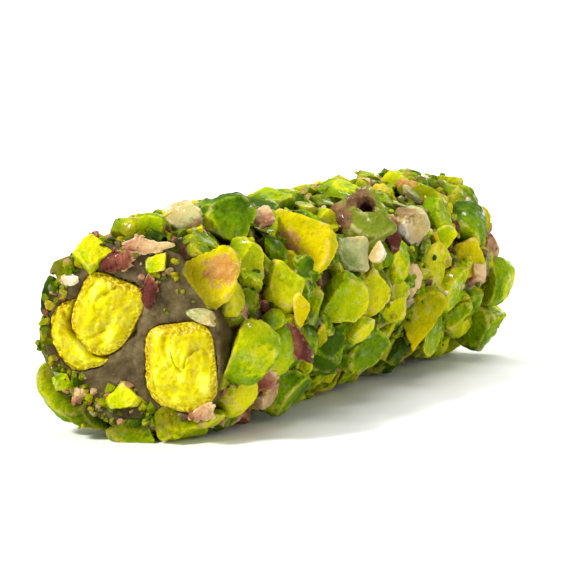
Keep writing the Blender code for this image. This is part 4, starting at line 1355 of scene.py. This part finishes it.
def model_delight():
    """The delight with its swollen side and cut faces, in its place."""
    start_clean()
    bpy.ops.mesh.primitive_cylinder_add(vertices=CORE_SEGMENTS, radius=CORE_RADIUS, depth=ROLL_LENGTH,
                                        end_fill_type="NGON", rotation=(-math.pi / 2, 0, 0))
    piece = added("turkish_delight")
    bpy.ops.object.transform_apply(rotation=True)
    select_only(piece, "EDGE", lambda edge, ends: abs(ends[0].y - ends[1].y) > ROLL_LENGTH / 2)
    bpy.ops.mesh.subdivide(number_cuts=CORE_CUTS)
    for side in (-1, 1):
        select_only(piece, "FACE", lambda face, corners: face.normal.y * side > 0.9)
        for ring in range(CAP_RINGS):
            bpy.ops.mesh.inset(thickness=CAP_STEP, depth=0)
        bpy.ops.mesh.poke()
    bpy.ops.mesh.select_all(action="SELECT")
    bpy.ops.mesh.quads_convert_to_tris()
    bpy.ops.object.mode_set(mode="OBJECT")
    for vert in piece.data.vertices:
        around = math.atan2(vert.co.z, vert.co.x)
        radius = math.hypot(vert.co.x, vert.co.z)
        share = vert.co.y / ROLL_LENGTH + 0.5
        on_side = radius > CORE_RADIUS - SIDE_TOLERANCE
        on_rim = on_side and (share < END_TOLERANCE or share > 1 - END_TOLERANCE)
        chamfer = RIM_CHAMFER if on_rim else 0
        along = place_along(share, around, chamfer)
        swollen = core_radius(along, around)
        reach = swollen - chamfer if on_side else radius * (swollen / CORE_RADIUS)
        place = Vector((reach * math.cos(around), along, AXIS_HEIGHT + reach * math.sin(around)))
        place += CENTRE_SHIFT
        if not on_side:
            end = -1 if share < 0.5 else 1
            face = face_frame(end)
            flat = face.inverted() @ place
            place = face @ Vector((flat.x, flat.y, face_relief(end, flat.x / MM, flat.y / MM)))
        vert.co = place
    make_active(piece)
    bpy.ops.object.shade_smooth()
    return piece


def delight_finish():
    """Grey-brown gel: cloudy inside, with pale starch specks and a moist surface."""
    recipe = Recipe("turkish delight")
    clouds = recipe.noise(3.2 * MM, detail=4, roughness=0.6)
    specks = recipe.noise(0.30 * MM, detail=3, roughness=0.7)
    blots = recipe.noise(1.1 * MM, detail=3, roughness=0.6)
    gel = recipe.ramp(clouds * 0.6 + blots * 0.4,
                      (0.36, 60, 48, 28), (0.50, 90, 76, 44), (0.64, 120, 104, 70))
    gel = recipe.mix(specks.between(0.58, 0.72) * 0.2, gel, shade(150, 134, 90))
    gel = recipe.mix((1 - specks).between(0.56, 0.70) * 0.35, gel, shade(54, 40, 26))
    relief = specks * 0.5 + blots * 0.5
    return recipe.finish(Base_Color=gel, Roughness=0.45 + (specks - 0.5) * 0.3,
                         Normal=recipe.bump(relief, 0.22 * MM, 0.7), Subsurface_Weight=0.2,
                         Subsurface_Radius=(1.0, 0.8, 0.5), Subsurface_Scale=1.5 * MM,
                         Specular_IOR_Level=0.12, Coat_Weight=blots.between(0.5, 0.65) * 0.25,
                         Coat_Roughness=0.18)


dressed(model_delight(), delight_finish(), "lokum", ["lokum_roll"])

# %% [markdown]
# ## Floor and light
# The roll stands on a plain white sweep, a floor that curves up into a backdrop, so that no horizon shows.
# One large soft light hangs in front and to the left, where the photograph's highlights come from, a weaker
# one fills the right side, a third keeps the backdrop white, and a pale sky lights the rest.

# %% Light the roll
SWEEP_SIZE = 3.0
SWEEP_DROP = 0.02 * MM     # under the roll, so that the two surfaces don't flicker into each other
SWEEP_RISE = 1.2
SWEEP_LEAN = 0.3
SWEEP_BEND = 0.5
SWEEP_BEND_SEGMENTS = 12
SKY = 0.42
KEY = {"place": (-0.45, -0.80, 0.85), "size": 0.25, "power": 17}
FILL = {"place": (0.9, -0.35, 0.35), "size": 0.8, "power": 1.5}
BACKDROP = {"place": (0.0, 0.5, 1.2), "size": 0.8, "power": 40, "target": (0, 1.7, 0.4)}


def soft_light(name, place, size, power, target=view_target):
    light = bpy.data.lights.new(name, "AREA")
    light.size = size
    light.energy = power
    lamp = bpy.data.objects.new(name, light)
    bpy.context.scene.collection.objects.link(lamp)
    lamp.location = place
    lamp.rotation_euler = (Vector(place) - Vector(target)).to_track_quat("Z", "Y").to_euler()


def make_sweep():
    """The white floor that curves up into the backdrop."""
    start_clean()
    bpy.ops.mesh.primitive_plane_add(size=SWEEP_SIZE, location=(0, 0, -SWEEP_DROP))
    piece = added("sweep")
    bpy.ops.object.transform_apply(location=True)
    select_only(piece, "EDGE", lambda edge, ends: all(end.y > 0 for end in ends))
    bpy.ops.mesh.extrude_region_move(TRANSFORM_OT_translate={"value": (0, SWEEP_LEAN, SWEEP_RISE)})
    bpy.ops.object.mode_set(mode="OBJECT")
    apply_modifier(piece, "BEVEL", width=SWEEP_BEND, segments=SWEEP_BEND_SEGMENTS, limit_method="ANGLE")
    piece.data.shade_smooth()
    recipe = Recipe("sweep")
    piece.data.materials.append(recipe.finish(Base_Color=shade(246, 246, 246), Roughness=0.7))
    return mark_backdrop(piece)


make_sweep()
soft_light("key", **KEY)
soft_light("fill", **FILL)
soft_light("backdrop", **BACKDROP)
world = bpy.data.worlds.new("sky")
world.use_nodes = True
background = world.node_tree.nodes["Background"]
background.inputs["Color"].default_value = (1, 1, 1, 1)
background.inputs["Strength"].default_value = SKY
bpy.context.scene.world = world
bpy.context.scene.view_settings.view_transform = "Standard"
print("lights:", len(bpy.data.lights))
